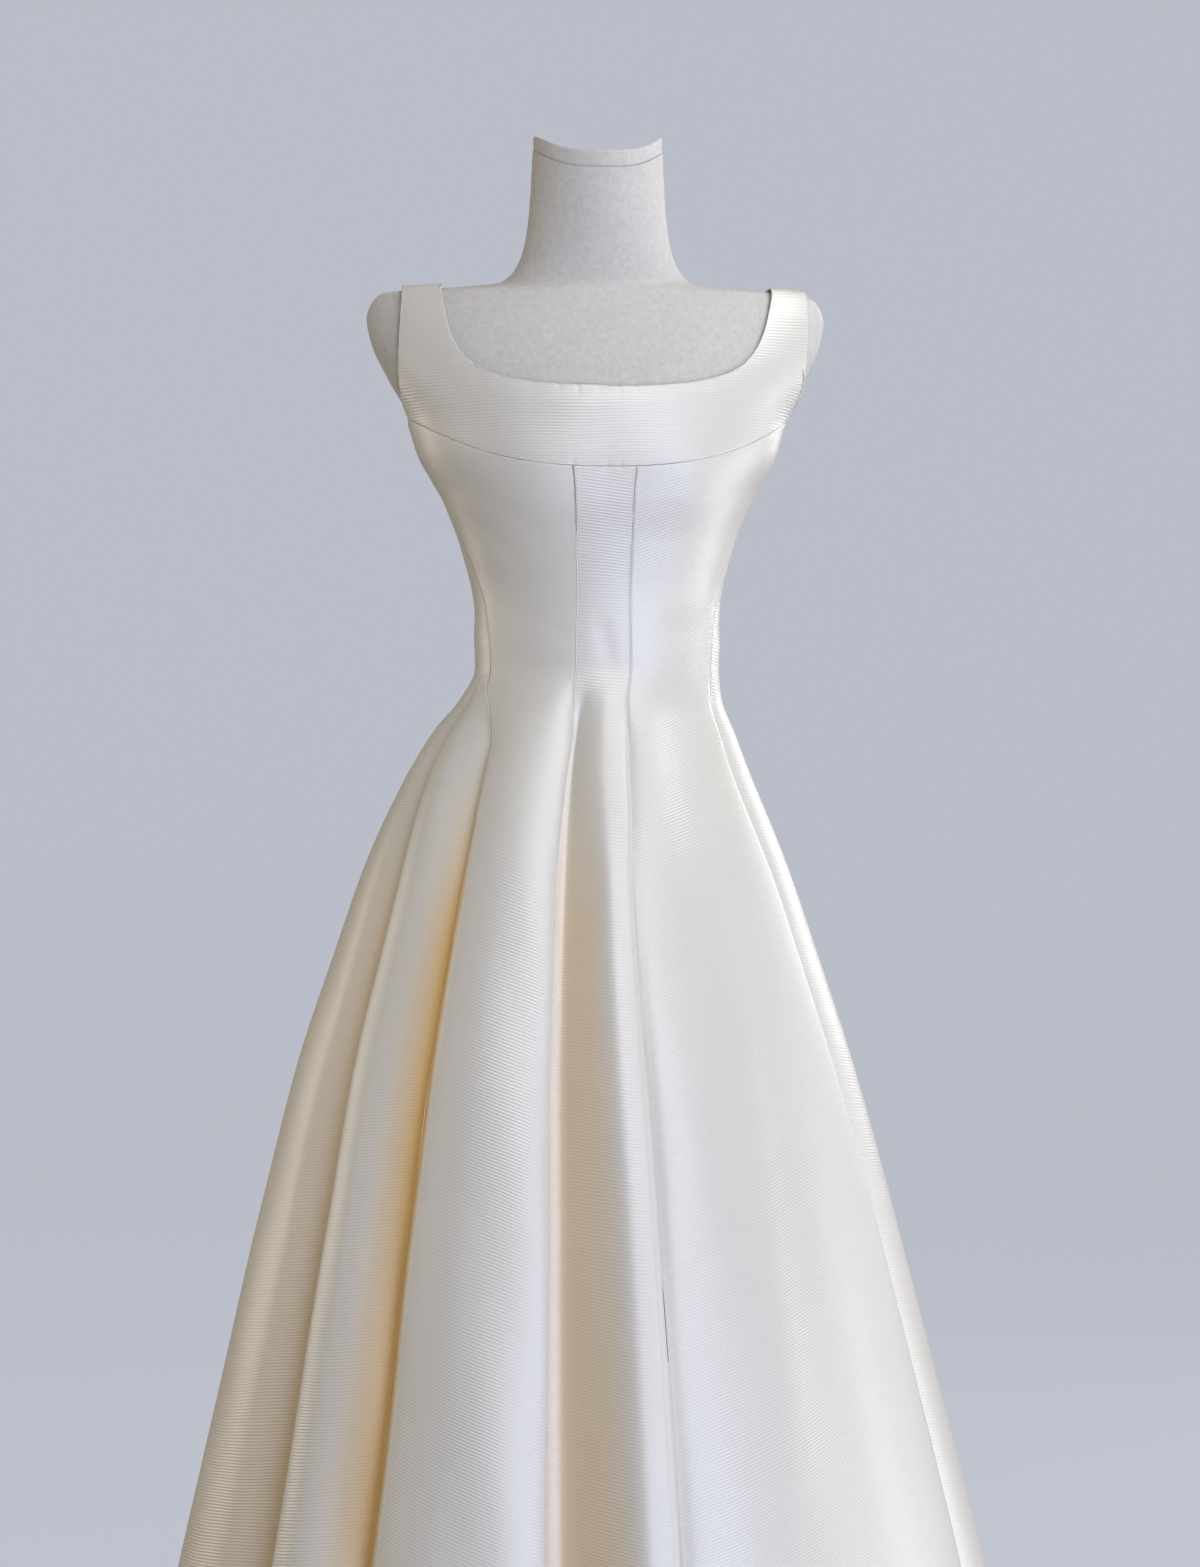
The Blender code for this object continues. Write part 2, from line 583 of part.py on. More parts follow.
def lay_patch(bm, layer, inner, outer):
    """Triangles of one patch's inner points, which remember their outer points."""
    rows, columns = inner.shape[:2]
    grid = [[bm.verts.new(point) for point in row] for row in inner]
    for vert, point in zip(sum(grid, []), outer.reshape(-1, 3)):
        vert[layer] = point
    for r in range(rows - 1):
        for c in range(columns - 1):
            a, b = grid[r][c], grid[r + 1][c]
            d, e = grid[r + 1][c + 1], grid[r][c + 1]
            bm.faces.new((a, b, d))
            bm.faces.new((a, d, e))


def cloth_wall(name, patches, spec, collection):
    """A closed wall of cloth from patches that meet edge to edge."""
    bm = bmesh.new()
    layer = bm.verts.layers.float_vector.new("outer")
    for inner, outer in patches:
        lay_patch(bm, layer, inner, outer)
    bmesh.ops.remove_doubles(bm, verts=bm.verts, dist=1e-6)
    inside = list(bm.faces)
    rims = [(loop.vert, loop.link_loop_next.vert) for face in inside for loop in face.loops
            if loop.edge.is_boundary]
    out = {vert: bm.verts.new(vert[layer]) for vert in list(bm.verts)}
    for face in inside:
        bm.faces.new([out[vert] for vert in face.verts])
    for start, end in rims:
        bm.faces.new((start, end, out[end]))
        bm.faces.new((start, out[end], out[start]))
    bmesh.ops.reverse_faces(bm, faces=inside)
    return add_object(name, mesh_from(name, bm), spec, collection)


def build_cloth(collection):
    """The yoke, the front and side panels, and each half back with its strap."""
    cloth_wall("front_yoke", [front_yoke_patch()], SATIN, collection)
    panels = (
        ("side_left", "left side back", "left side front"),
        ("front_left", "left side front", "left centre front"),
        ("centre_front", "left centre front", "right centre front"),
        ("front_right", "right centre front", "right side front"),
        ("side_right", "right side front", "right side back"),
    )
    for name, first, last in panels:
        u = columns_between(seam_u(first), seam_u(last))
        cloth_wall(name, [panel_patch(u, not name.startswith("side"))], SATIN, collection)
    backs = (
        ("back_right", "right side back", "centre back", 1),
        ("back_left", "centre back", "left side back", -1),
    )
    for name, first, last, hand in backs:
        u = columns_between(seam_u(first), seam_u(last))
        patches = [back_patch(u, hand), panel_patch(u, False)]
        cloth_wall(name, patches, SATIN, collection)


def loft(rings):
    """A closed solid through rings of points, with a flat face at each end."""
    bm = bmesh.new()
    grid = [[bm.verts.new(point) for point in ring] for ring in rings]
    count = len(grid[0])
    for low, high in zip(grid, grid[1:]):
        for c in range(count):
            after = (c + 1) % count
            bm.faces.new((low[c], low[after], high[after], high[c]))
    bm.faces.new(grid[0][::-1])
    bm.faces.new(grid[-1])
    return bm


def dished(points, share):
    """Points of the neck's top, which is low along the middle and rises to both sides."""
    points = points.copy()
    aside = np.clip(np.abs(points[..., 0]) / FIGURE[-1].half_width, 0.0, 1.0)
    points[..., 2] += (NECK_LIFT + DISH_RISE * aside ** DISH_POWER) * share
    return points


def drawn_in(ring, share, rise):
    """A ring of points drawn in towards its middle."""
    middle = ring.mean(axis=0)
    ring = middle + (ring - middle) * share
    ring[:, 2] += rise
    return ring


def build_form(collection):
    """The torso with its neck, and the cap on it."""
    angle = np.linspace(-math.pi, math.pi, FORM_COLUMNS, endpoint=False)
    marks = tape_at(np.array((FORM_BOTTOM, 1.36, 1.46, NECK_TOP)))
    tapes = np.concatenate((np.linspace(marks[0], marks[1], 13),
                            np.linspace(marks[1], marks[2], 11)[1:],
                            np.linspace(marks[2], marks[3], 5)[1:]))
    rings = []
    for tape in tapes:
        ring = skin(angle, np.full(FORM_COLUMNS, tape))
        share = blend(NECK_FROM, NECK_TOP, ring[0, 2])
        rings.append(dished(ring, share))
    flat = skin(angle, np.full(FORM_COLUMNS, marks[3]))
    lid = [dished(drawn_in(flat, CAP_SCALE, 0.0), 1.0)]
    lid += [dished(drawn_in(flat, share, -LID_SINK), 1.0) for share in LID_SHARES]
    add_object("form_body", mesh_from("form_body", loft(rings + lid)), CANVAS, collection)

    shares = (CAP_SCALE, *LID_SHARES)
    low = [dished(drawn_in(flat, share, SEAM_GAP), 1.0) for share in shares[::-1]]
    high = [dished(drawn_in(flat, share, CAP_THICK), 1.0) for share in shares]
    cap = add_object("neck_cap", mesh_from("neck_cap", loft(low + high)), CAP_COVER, collection)
    edge = cap.modifiers.new("soft edge", "BEVEL")
    edge.width = CAP_EDGE
    edge.segments = 1
    edge.limit_method = "ANGLE"
    edge.angle_limit = math.radians(50)


def turned(name, profile, spec, collection):
    """A solid of revolution about the pole's axis. The profile runs top to bottom."""
    bm = bmesh.new()
    points = [bm.verts.new((radius, 0.0, height)) for radius, height in profile]
    for start, end in zip(points, points[1:]):
        bm.edges.new((start, end))
    thing = add_object(name, mesh_from(name, bm), spec, collection)
    screw = thing.modifiers.new("turning", "SCREW")
    screw.steps = TURNED_STEPS
    screw.render_steps = TURNED_STEPS
    screw.use_merge_vertices = True
    screw.merge_threshold = 0.0001
    screw.use_smooth_shade = True
    return thing


def build_stand(collection):
    """The pole with its flange under the form, and the round base."""
    top = FORM_BOTTOM - SEAM_GAP
    flange = top - FLANGE_THICK
    foot = BASE_TOP + SEAM_GAP
    pole = ((0.0, top), (FLANGE_RADIUS, top), (FLANGE_RADIUS, flange), (POLE_RADIUS, flange - 0.004),
            (POLE_RADIUS, foot), (0.0, foot))
    turned("pole", pole, STEEL, collection)
    base = ((0.0, BASE_TOP), (0.035, BASE_TOP), (BASE_RADIUS - 0.014, BASE_EDGE + 0.002),
            (BASE_RADIUS - 0.003, BASE_EDGE - 0.001), (BASE_RADIUS, BASE_EDGE - 0.004),
            (BASE_RADIUS, 0.0), (0.0, 0.0))
    turned("base", base, STEEL, collection)


def clear_scene():
    for thing in list(bpy.data.objects):
        bpy.data.objects.remove(thing, do_unlink=True)


def main():
    clear_scene()
    collection = bpy.data.collections.new("prom_dress_on_form")
    bpy.context.scene.collection.children.link(collection)
    build_cloth(collection)
    build_form(collection)
    build_stand(collection)


main()
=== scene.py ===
import math
from collections import namedtuple

import bmesh
import bpy
import numpy as np
from bpy.props import FloatProperty, FloatVectorProperty, IntProperty, PointerProperty
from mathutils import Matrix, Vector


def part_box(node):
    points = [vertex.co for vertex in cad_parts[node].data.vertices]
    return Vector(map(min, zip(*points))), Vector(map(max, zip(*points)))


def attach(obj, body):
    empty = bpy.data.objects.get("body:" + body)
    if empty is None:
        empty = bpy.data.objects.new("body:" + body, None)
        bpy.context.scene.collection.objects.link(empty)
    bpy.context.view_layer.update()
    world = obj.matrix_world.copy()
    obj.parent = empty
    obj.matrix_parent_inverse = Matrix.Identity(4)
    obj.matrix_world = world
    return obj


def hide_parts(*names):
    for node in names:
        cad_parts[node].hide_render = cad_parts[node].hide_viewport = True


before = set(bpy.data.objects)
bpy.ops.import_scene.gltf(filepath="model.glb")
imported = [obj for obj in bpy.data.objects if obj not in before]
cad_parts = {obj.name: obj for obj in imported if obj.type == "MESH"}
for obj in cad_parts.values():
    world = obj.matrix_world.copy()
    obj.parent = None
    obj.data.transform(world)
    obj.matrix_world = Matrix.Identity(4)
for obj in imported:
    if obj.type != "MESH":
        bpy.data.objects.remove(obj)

bl_info = {
    "name": "Satin dress on a dress form",
    "version": (1, 0, 0),
    "blender": (4, 5, 0),
    "location": "3D View > Sidebar > Dress",
    "description": "Builds a floor-length satin dress, panel by panel, on a form with a stand",
    "category": "Add Mesh",
}

# Metres, +Z up. The dress faces -Y, the pole stands at X = Y = 0 and the floor is Z = 0. Angles
# run round the figure from the front, 0, towards +X, 90, to the back, 180 or -180.

CLOTH = 0.0015              # thickness of satin with its backing
STRAP_EASE = 0.0006         # between the form and a strap that rests on it
BODICE_EASE = 0.0034        # between the form and the fitted bodice
STRAP_EASE_FROM = 1.4505    # above this height the cloth rests on the form
BODICE_EASE_FROM = 1.4455   # below this height it has the bodice's ease

# The form: a section at each height, with its reach to the front and back from the pole's axis,
# the Y of its widest line, and how square it is (2 is an ellipse).
Section = namedtuple("Section", "height half_width front back side squareness")
FIGURE = [
    Section(0.8000, 0.1340, 0.090, 0.102, 0.006, 2.2),
    Section(0.8400, 0.1390, 0.094, 0.111, 0.006, 2.2),
    Section(0.9000, 0.1350, 0.093, 0.113, 0.006, 2.2),
    Section(0.9700, 0.1210, 0.087, 0.102, 0.004, 2.2),
    Section(1.0400, 0.1105, 0.083, 0.087, 0.002, 2.2),
    Section(1.1070, 0.1115, 0.085, 0.082, 0.000, 2.2),
    Section(1.1470, 0.1122, 0.087, 0.081, 0.000, 2.2),
    Section(1.2030, 0.1242, 0.096, 0.085, 0.000, 2.3),
    Section(1.2500, 0.1424, 0.107, 0.093, 0.000, 2.3),
    Section(1.2900, 0.1647, 0.112, 0.101, 0.002, 2.3),
    Section(1.3260, 0.1768, 0.111, 0.107, 0.004, 2.2),
    Section(1.3645, 0.1985, 0.102, 0.110, 0.006, 2.1),
    Section(1.4030, 0.2158, 0.084, 0.104, 0.008, 1.9),
    Section(1.4220, 0.2188, 0.073, 0.094, 0.008, 1.8),
    Section(1.4360, 0.2140, 0.064, 0.084, 0.006, 1.7),
    Section(1.4450, 0.2040, 0.058, 0.074, 0.004, 1.6),
    Section(1.4495, 0.1500, 0.054, 0.068, 0.002, 1.6),
    Section(1.4550, 0.0950, 0.053, 0.062, 0.000, 1.8),
    Section(1.4670, 0.0793, 0.054, 0.060, -0.002, 2.0),
    Section(1.4940, 0.0687, 0.058, 0.056, -0.004, 2.0),
    Section(1.5220, 0.0646, 0.061, 0.053, -0.006, 2.0),
    Section(1.5665, 0.0618, 0.064, 0.048, -0.008, 2.0),
]
BUST_RISE = 0.006
BUST_ACROSS = 0.085
BUST_HEIGHT = 1.262
BUST_SPREAD = 0.046
NECK_FROM = 1.480           # where the neck starts to dish
NECK_TOP = 1.5665
NECK_LIFT = -0.0085         # its middle, against that height
DISH_RISE = 0.0210          # how much higher the neck's top is at its two sides
DISH_POWER = 3.0
CAP_THICK = 0.0160

# The skirt's outside at its fold crests: half width, reach to front and back, and sideways shift.
Flare = namedtuple("Flare", "height half_width front back shift squareness")
SKIRT = [
    Flare(0.0200, 0.4390, 0.428, 0.452, -0.017, 2.0),
    Flare(0.2788, 0.3767, 0.362, 0.384, -0.018, 2.0),
    Flare(0.4312, 0.3395, 0.322, 0.342, -0.019, 2.0),
    Flare(0.5836, 0.3010, 0.282, 0.298, -0.021, 2.0),
    Flare(0.7169, 0.2652, 0.243, 0.256, -0.022, 2.0),
    Flare(0.8217, 0.2305, 0.208, 0.218, -0.022, 2.0),
    Flare(0.9074, 0.2000, 0.176, 0.184, -0.021, 2.0),
    Flare(0.9836, 0.1667, 0.137, 0.146, -0.018, 2.0),
    Flare(1.0310, 0.1424, 0.110, 0.118, -0.012, 2.05),
    Flare(1.0580, 0.1255, 0.097, 0.101, -0.006, 2.1),
]
HEM = 0.020
THIGH = 0.870
HIP = 1.015
HIP_SHARE = 0.80            # how much of the thigh's fold depth is there at the hip
FOLDS_FROM = 1.082          # the front seams are released here
RELEASE = 1.090             # below this the cloth leaves the form
FIT_MARKS = (1.130, 1.110, RELEASE)

# Folds round the skirt, in order. Angles in degrees at the waist, hip, thigh and hem, how far in
# from the crests, in millimetres, at the thigh and hem, and how strong the painted warm tint and
# painted glow in its depth are, 0 to 1, in place of light bounced and passed through the fold.
Fold = namedtuple("Fold", "name waist hip thigh hem thigh_inset hem_inset glow")
FOLDS = [
    Fold("seam centre back", -180.0, -180.0, -180.0, -180.0, 18, 50, 0.5),
    Fold("left back edge", -172.0, -172.0, -172.5, -173.0, 6, 16, 0.1),
    Fold("left back crest", -163.0, -163.5, -164.0, -165.0, 0, 0, 0.0),
    Fold("left back hollow", -152.0, -152.0, -152.0, -151.0, 16, 44, 0.5),
    Fold("left back second crest", -140.0, -139.5, -139.0, -138.0, 0, 0, 0.0),
    Fold("left back second edge", -130.0, -129.5, -129.0, -128.0, 6, 12, 0.1),
    Fold("seam left side back", -125.0, -125.5, -126.0, -127.0, 15, 42, 0.5),
    Fold("left side back hollow", -120.0, -120.5, -121.0, -121.0, 18, 50, 0.6),
    Fold("left side back crest", -109.0, -108.0, -107.0, -106.0, 0, 0, 0.1),
    Fold("left side hollow", -99.0, -97.5, -96.0, -95.0, 12, 32, 0.5),
    Fold("left side crest", -89.0, -86.0, -83.0, -80.0, 0, 0, 0.1),
    Fold("left side edge", -81.0, -76.5, -70.0, -65.0, 2, 6, 0.15),
    Fold("left side slope", -77.5, -71.0, -63.0, -58.0, 10, 30, 0.35),
    Fold("left outer hollow", -74.5, -68.5, -59.5, -54.5, 14, 44, 0.6),
    Fold("left outer edge", -72.0, -66.0, -57.0, -51.5, 5, 12, 0.0),
    Fold("left outer crest", -69.5, -58.0, -49.0, -46.0, 0, 1, 0.0),
    Fold("left outer slope", -67.0, -48.0, -42.0, -41.5, 8, 22, 0.4),
    Fold("left inner hollow", -65.0, -42.0, -37.0, -37.6, 15, 46, 1.0),
    Fold("seam left side front", -62.5, -39.0, -35.0, -35.8, 10, 28, 1.0),
    Fold("left front edge", -54.0, -36.0, -32.5, -34.0, 5, 12, 0.0),
    Fold("left front crest", -34.0, -26.0, -24.5, -26.5, 0, 0, 0.0),
    Fold("left front turn", -20.0, -14.5, -15.5, -15.5, 5, 13, 0.0),
    Fold("left front lip", -15.0, -8.6, -9.6, -8.9, 14, 33, 0.0),
    Fold("seam left centre front", -12.2, -8.6, -10.0, -9.8, 22, 55, 0.1),
    Fold("centre hollow", -7.5, -6.2, -6.8, -6.8, 26, 66, 0.45),
    Fold("centre rise", -2.5, -2.4, -0.8, -0.6, 14, 40, 0.4),
    Fold("centre ridge", 3.0, 4.4, 5.4, 5.2, 2, 8, 0.0),
    Fold("centre edge", 8.0, 11.2, 9.4, 8.3, 2, 7, 0.0),
    Fold("seam right centre front", 10.6, 13.8, 11.0, 9.6, 6, 13, 0.0),
    Fold("right front start", 13.5, 17.0, 14.2, 12.0, 3, 9, 0.0),
    Fold("right front swell", 22.0, 25.0, 24.0, 16.0, 1, 6, 0.0),
    Fold("right front crease", 30.0, 33.0, 33.5, 20.0, 1, 3, 0.0),
    Fold("right front flat", 38.0, 40.0, 39.5, 31.0, 2, 8, 0.0),
    Fold("right front crest", 48.0, 48.5, 49.0, 45.0, 1, 6, 0.0),
    Fold("right front edge", 58.0, 57.5, 60.5, 65.0, 0, 2, 0.0),
    Fold("seam right side front", 62.5, 60.0, 62.5, 66.3, 14, 40, 0.0),
    Fold("right side hollow", 67.0, 64.5, 66.0, 68.8, 19, 52, 0.1),
    Fold("right side slope", 73.0, 71.0, 71.0, 72.5, 8, 22, 0.0),
    Fold("right side crest", 84.0, 83.5, 83.0, 82.0, 0, 0, 0.0),
    Fold("right side far slope", 95.0, 95.0, 95.0, 94.0, 5, 14, 0.1),
    Fold("right side second hollow", 102.0, 102.5, 103.0, 103.0, 16, 46, 0.5),
    Fold("right side back crest", 114.0, 114.5, 115.0, 115.0, 0, 0, 0.0),
    Fold("right side back edge", 122.0, 122.3, 122.5, 123.0, 5, 12, 0.1),
    Fold("seam right side back", 125.0, 125.5, 126.0, 126.5, 14, 40, 0.4),
    Fold("right back hollow", 130.0, 130.5, 131.0, 131.5, 19, 54, 0.6),
    Fold("right back crest", 144.0, 144.5, 145.0, 145.0, 0, 0, 0.0),
    Fold("right back second hollow", 156.0, 156.5, 157.0, 158.0, 12, 36, 0.4),
    Fold("right back second crest", 167.0, 167.5, 168.0, 169.0, 1, 4, 0.0),
]
PLAN_DETAIL = 16            # samples of the plan curve from one fold row to the next
PLAN_SOFTNESS = 2.2         # samples over which its corners are eased
SLOPE_STEP = 0.004          # height over which the skirt's slope is read

# Where the seams lie on each side, by their angle at the waist and at the top of the bodice
SEAM_FANS = ((0.0, 0.0), (11.4, 8.6), (62.5, 84.0), (125.0, 118.0), (180.0, 180.0))
FAN_TO = 1.270

# The yoke seam, the underarm and the back, where they meet the bodice
YOKE_LOW = 1.2741           # height of the yoke seam at the centre front
YOKE_CORNER = 1.3253        # and at the armhole
YOKE_CORNER_X = 0.1757
YOKE_CURVE = 2.7
UNDERARM_DIP = 0.006
BACK_CORNER = 1.3300
BACK_LOW = 1.2900
BACK_CURVE = 2.5
FRONT_CORNER_ANGLE = 84.0
BACK_CORNER_ANGLE = 118.0

# Edges of half the front and back: across from the centre, and down from the shoulder.
NECKLINE = ((0.1560, 0.0), (0.1550, 0.0100), (0.1505, 0.0320), (0.1430, 0.0550), (0.1290, 0.0750),
            (0.1060, 0.0885), (0.0750, 0.0965), (0.0380, 0.1005), (0.0, 0.1015))
ARMHOLE = ((0.1915, 0.0), (0.1915, 0.0120), (0.1915, 0.0360), (0.1900, 0.0700), (0.1840, 0.1030),
           (0.1755, 0.1225))
BACK_NECKLINE = ((0.1560, 0.0), (0.1545, 0.0120), (0.1480, 0.0340), (0.1340, 0.0560),
                 (0.1060, 0.0720), (0.0650, 0.0790), (0.0, 0.0810))
BACK_ARMHOLE = ((0.1915, 0.0), (0.1900, 0.0120), (0.1840, 0.0400), (0.1740, 0.0800),
                (0.1630, 0.1160))
HANG_SHIFT = 0.007          # the straps sit this far towards +X on the form
STRAP_DROP = 0.1225
STRAP_CROWDING = 1.6        # rungs lie closer together over the shoulder
CORNER_SHARE = 0.34         # share of the neckline that belongs to the strap
ROOT_SCALE = 0.3            # keeps an edge's steps even where it runs over the shoulder

# How finely the cloth is laid
STRAP_RUNGS = 72
YOKE_CELLS = 44
YOKE_COLUMNS = 301
YOKE_SEAM_FADE = (6, 2)     # columns before and after the strap's end over which the seam starts
BODICE_ROWS = 64
BODICE_CROWDING = 1.4       # rows lie closer together at the yoke
SKIRT_ROWS = 120
SKIRT_CROWDING = 0.9        # and at the waist
EDGE_STEPS = 480            # steps along a neckline or armhole
TAPE_STEPS = 1200           # steps up the tape
FORM_ROWS = 260
EDGE_CROWDING = 0.72        # columns lie closer together beside a seam
FORM_COLUMNS = 160

# Slow swells of the cloth: how long a wave is, and how high it is on the fitted and the loose parts
SWELL_CYCLE = 0.15
YOKE_SWELL_CYCLE = 0.09
FITTED_SWELL = 0.00015
LOOSE_SWELL = 0.0006        # added to that from the hip down
YOKE_SWELL = 0.00012
YOKE_SWELL_SEED = 2.0
LOOSE_FROM = RELEASE + 0.02
HANG_STRETCH = 0.22         # how much slower the swells change down than across

# A fold's painted warm tint and painted glow fade out between these heights, upwards
PAINTED_WARMTH_FULL = 0.82
PAINTED_WARMTH_GONE = 1.04

# A turned edge: how far in from the edge, and how far below the face, point by point
SEAM_TURN = ((0.0005, 0.0), (0.0002, -0.00015), (0.0, -0.0005), (0.0, -0.0022))
FACED_TURN = ((0.0006, 0.0), (0.00025, -0.0001), (0.00005, -0.0004), (0.0, -0.0008),
              (0.0002, -0.0013), (0.0030, -0.0014))
HEM_TURN = ((0.0008, 0.0), (0.0003, -0.0002), (0.0, -0.0007), (0.0003, -0.0012),
            (0.0008, -0.0014), (0.0200, -0.0016))
EDGE_ROUND = 0.0004         # depth over which a turned edge tips outwards
WELT_HEIGHT = 0.3           # the welt beside a seam, against the seam's depth
WELT_PLACE = 3              # and how many rolls from the seam it lies

# The stand
POLE_RADIUS = 0.0125
FLANGE_RADIUS = 0.045
FLANGE_THICK = 0.006
FLANGE_CONE = 0.004         # height over which the pole widens to its flange
BASE_RIM = 0.014            # width of the base's gently sloping rim
BASE_CROWN = 0.035          # radius of the flat round the pole
BASE_STEPS = (0.55, 0.08, 0.37)  # shares of the base's height: its side, its rim, the rise to the flat
BASE_BEVEL = 0.0015
POLE_BEVEL = 0.0008
ROUND_SIDES = 128
SOFT_ANGLE = math.radians(40)    # edges flatter than this are shaded smooth
BEVEL_ANGLE = math.radians(35)   # and those sharper than this are bevelled

# Points closer than this are merged
CLOTH_MERGE = 0.00002
FORM_MERGE = 0.00001
PAPER_MERGE = 0.0001

# Creases: the piece, where one starts and ends (angle round the figure, height), how wide, and how
# deep it is, in millimetres. A positive depth is a trough and a negative one a ridge.
Crease = namedtuple("Crease", "piece angle height to_angle to_height width depth")
CREASES = [
    Crease("front_left", -60, 1.255, -34, 1.215, 9, 0.5),
    Crease("front_left", -66, 1.225, -44, 1.190, 8, 0.4),
    Crease("front_left", -56, 1.140, -22, 1.125, 10, 0.5),
    Crease("front_left", -50, 1.112, -24, 1.106, 8, -0.4),
    Crease("front_right", 60, 1.250, 38, 1.205, 9, 0.5),
    Crease("front_right", 62, 1.150, 26, 1.136, 10, 0.5),
    Crease("front_right", 58, 1.126, 34, 1.121, 7, -0.4),
    Crease("front_right", 56, 1.104, 30, 1.097, 7, 0.4),
    Crease("centre_front", -4, 1.135, 5, 1.085, 9, 0.6),
    Crease("side_left", -112, 1.300, -86, 1.262, 10, 0.7),
    Crease("side_left", -104, 1.262, -80, 1.232, 9, 0.5),
    Crease("side_left", -108, 1.150, -78, 1.136, 9, 0.6),
    Crease("side_left", -100, 1.122, -74, 1.114, 8, -0.5),
    Crease("side_right", 112, 1.298, 88, 1.258, 10, 0.7),
    Crease("side_right", 102, 1.256, 82, 1.226, 9, 0.5),
    Crease("side_right", 110, 1.146, 80, 1.130, 9, 0.6),
    Crease("side_right", 98, 1.118, 76, 1.108, 8, -0.5),
    Crease("back_left", -132, 1.160, -162, 1.142, 11, 0.7),
    Crease("back_left", -136, 1.132, -170, 1.120, 9, -0.5),
    Crease("back_left", -134, 1.230, -158, 1.208, 10, 0.5),
    Crease("back_right", 134, 1.158, 164, 1.138, 11, 0.7),
    Crease("back_right", 138, 1.128, 172, 1.118, 9, -0.5),
    Crease("back_right", 132, 1.236, 156, 1.212, 10, 0.5),
]
LIPPED = ("front_left", "centre_front")  # their last edge is pressed a little proud of its seam
CREASE_FADE = 0.35          # share of a crease's length over which each end fades

# Puckers along a seam: where across, how wide, how far they reach from it, and how deep, in mm
Pucker = namedtuple("Pucker", "across width reach depth")
PUCKER_ZERO = -0.003        # X from which puckers are placed across
PUCKER_RIM = 0.12           # how high a pucker's two rims are, against its depth
PUCKER_RIM_AT = 1.6         # and how many widths from its middle
BELOW_SEAM = 0.5            # how deep the yoke's puckers go on below its seam
YOKE_PUCKERS = [
    Pucker(-128, 3.6, 6, 0.16), Pucker(-101, 3.0, 4, 0.14), Pucker(-74, 4.0, 7, 0.16),
    Pucker(-52, 3.0, 4, 0.18), Pucker(-29, 2.6, 6, 0.42), Pucker(-12, 3.0, 4, 0.16),
    Pucker(3, 2.8, 5, 0.26), Pucker(16, 2.6, 5, 0.30), Pucker(30, 3.2, 3, 0.14),
    Pucker(52, 2.6, 5, 0.34), Pucker(60, 2.4, 6, 0.30), Pucker(69, 2.6, 4, 0.24),
    Pucker(88, 3.0, 4, 0.14), Pucker(109, 3.6, 6, 0.16), Pucker(132, 3.2, 5, 0.14),
]
NECK_PUCKERS = [
    Pucker(-118, 3.4, 10, 0.30), Pucker(-92, 3.0, 8, 0.25), Pucker(-66, 3.4, 12, 0.30),
    Pucker(-41, 2.6, 9, 0.35), Pucker(-24, 2.4, 11, 0.35), Pucker(-4, 3.0, 8, 0.25),
    Pucker(15, 2.6, 10, 0.35), Pucker(31, 2.2, 8, 0.30), Pucker(55, 3.0, 12, 0.30),
    Pucker(79, 2.6, 9, 0.30), Pucker(104, 3.4, 10, 0.30), Pucker(126, 2.8, 8, 0.25),
]


def linear(code):
    """An sRGB hex colour as linear red, green and blue."""
    values = [int(code[place:place + 2], 16) / 255 for place in (1, 3, 5)]
    return tuple(v / 12.92 if v <= 0.04045 else ((v + 0.055) / 1.055) ** 2.4 for v in values)


# Curves and surfaces

def smooth(knots, rows, places):
    """Read a smooth curve through the rows, which never swings past them, at the places."""
    knots = np.asarray(knots, float)
    rows = np.asarray(rows, float).reshape(len(knots), -1)
    places = np.atleast_1d(np.asarray(places, float))
    width = np.diff(knots)[:, None]
    slope = np.diff(rows, axis=0) / width
    before, after = slope[:-1], slope[1:]
    same_way = before * after > 0
    early = 2 * width[1:] + width[:-1]
    late = width[1:] + 2 * width[:-1]
    spread = early / np.where(same_way, before, 1.0) + late / np.where(same_way, after, 1.0)
    inner = np.where(same_way, (early + late) / np.where(same_way, spread, 1.0), 0.0)
    tangent = np.vstack((slope[:1], inner, slope[-1:]))
    step = np.clip(np.searchsorted(knots, places, side="right") - 1, 0, len(knots) - 2)
    gap = width[step]
    share = np.clip((places[:, None] - knots[step][:, None]) / gap, 0.0, 1.0)
    start = (1 + 2 * share) * (1 - share) ** 2 * rows[step]
    end = share ** 2 * (3 - 2 * share) * rows[step + 1]
    leave = share * (1 - share) ** 2 * gap * tangent[step]
    arrive = share ** 2 * (share - 1) * gap * tangent[step + 1]
    return start + end + leave + arrive


def blend(low, high, value):
    """0 at low, 1 at high, with an eased change between."""
    share = np.clip((value - low) / (high - low), 0.0, 1.0)
    return share * share * (3 - 2 * share)


def signed_power(value, power):
    return np.sign(value) * np.abs(value) ** power


def unit(vectors):
    return vectors / np.maximum(np.linalg.norm(vectors, axis=-1, keepdims=True), 1e-12)


def outward(surface, first, second, first_step, second_step):
    """The way out of a surface, from its slopes in both directions."""
    along = surface(first + first_step, second) - surface(first - first_step, second)
    up = surface(first, second + second_step) - surface(first, second - second_step)
    return unit(np.cross(along, up))


# The form's surface is read by an angle and a place on a tape that runs up its side.
FIGURE_ROWS = np.array(FIGURE)
SIDE_STEPS = np.hypot(np.diff(FIGURE_ROWS[:, 0]), np.diff(FIGURE_ROWS[:, 1]))
FIGURE_TAPE = np.concatenate(([0.0], np.cumsum(SIDE_STEPS)))
FINE_TAPE = np.linspace(0.0, FIGURE_TAPE[-1], TAPE_STEPS + 1)
FINE_ROWS = smooth(FIGURE_TAPE, FIGURE_ROWS, FINE_TAPE)
WIDEST = int(np.argmax(FINE_ROWS[:, 1]))


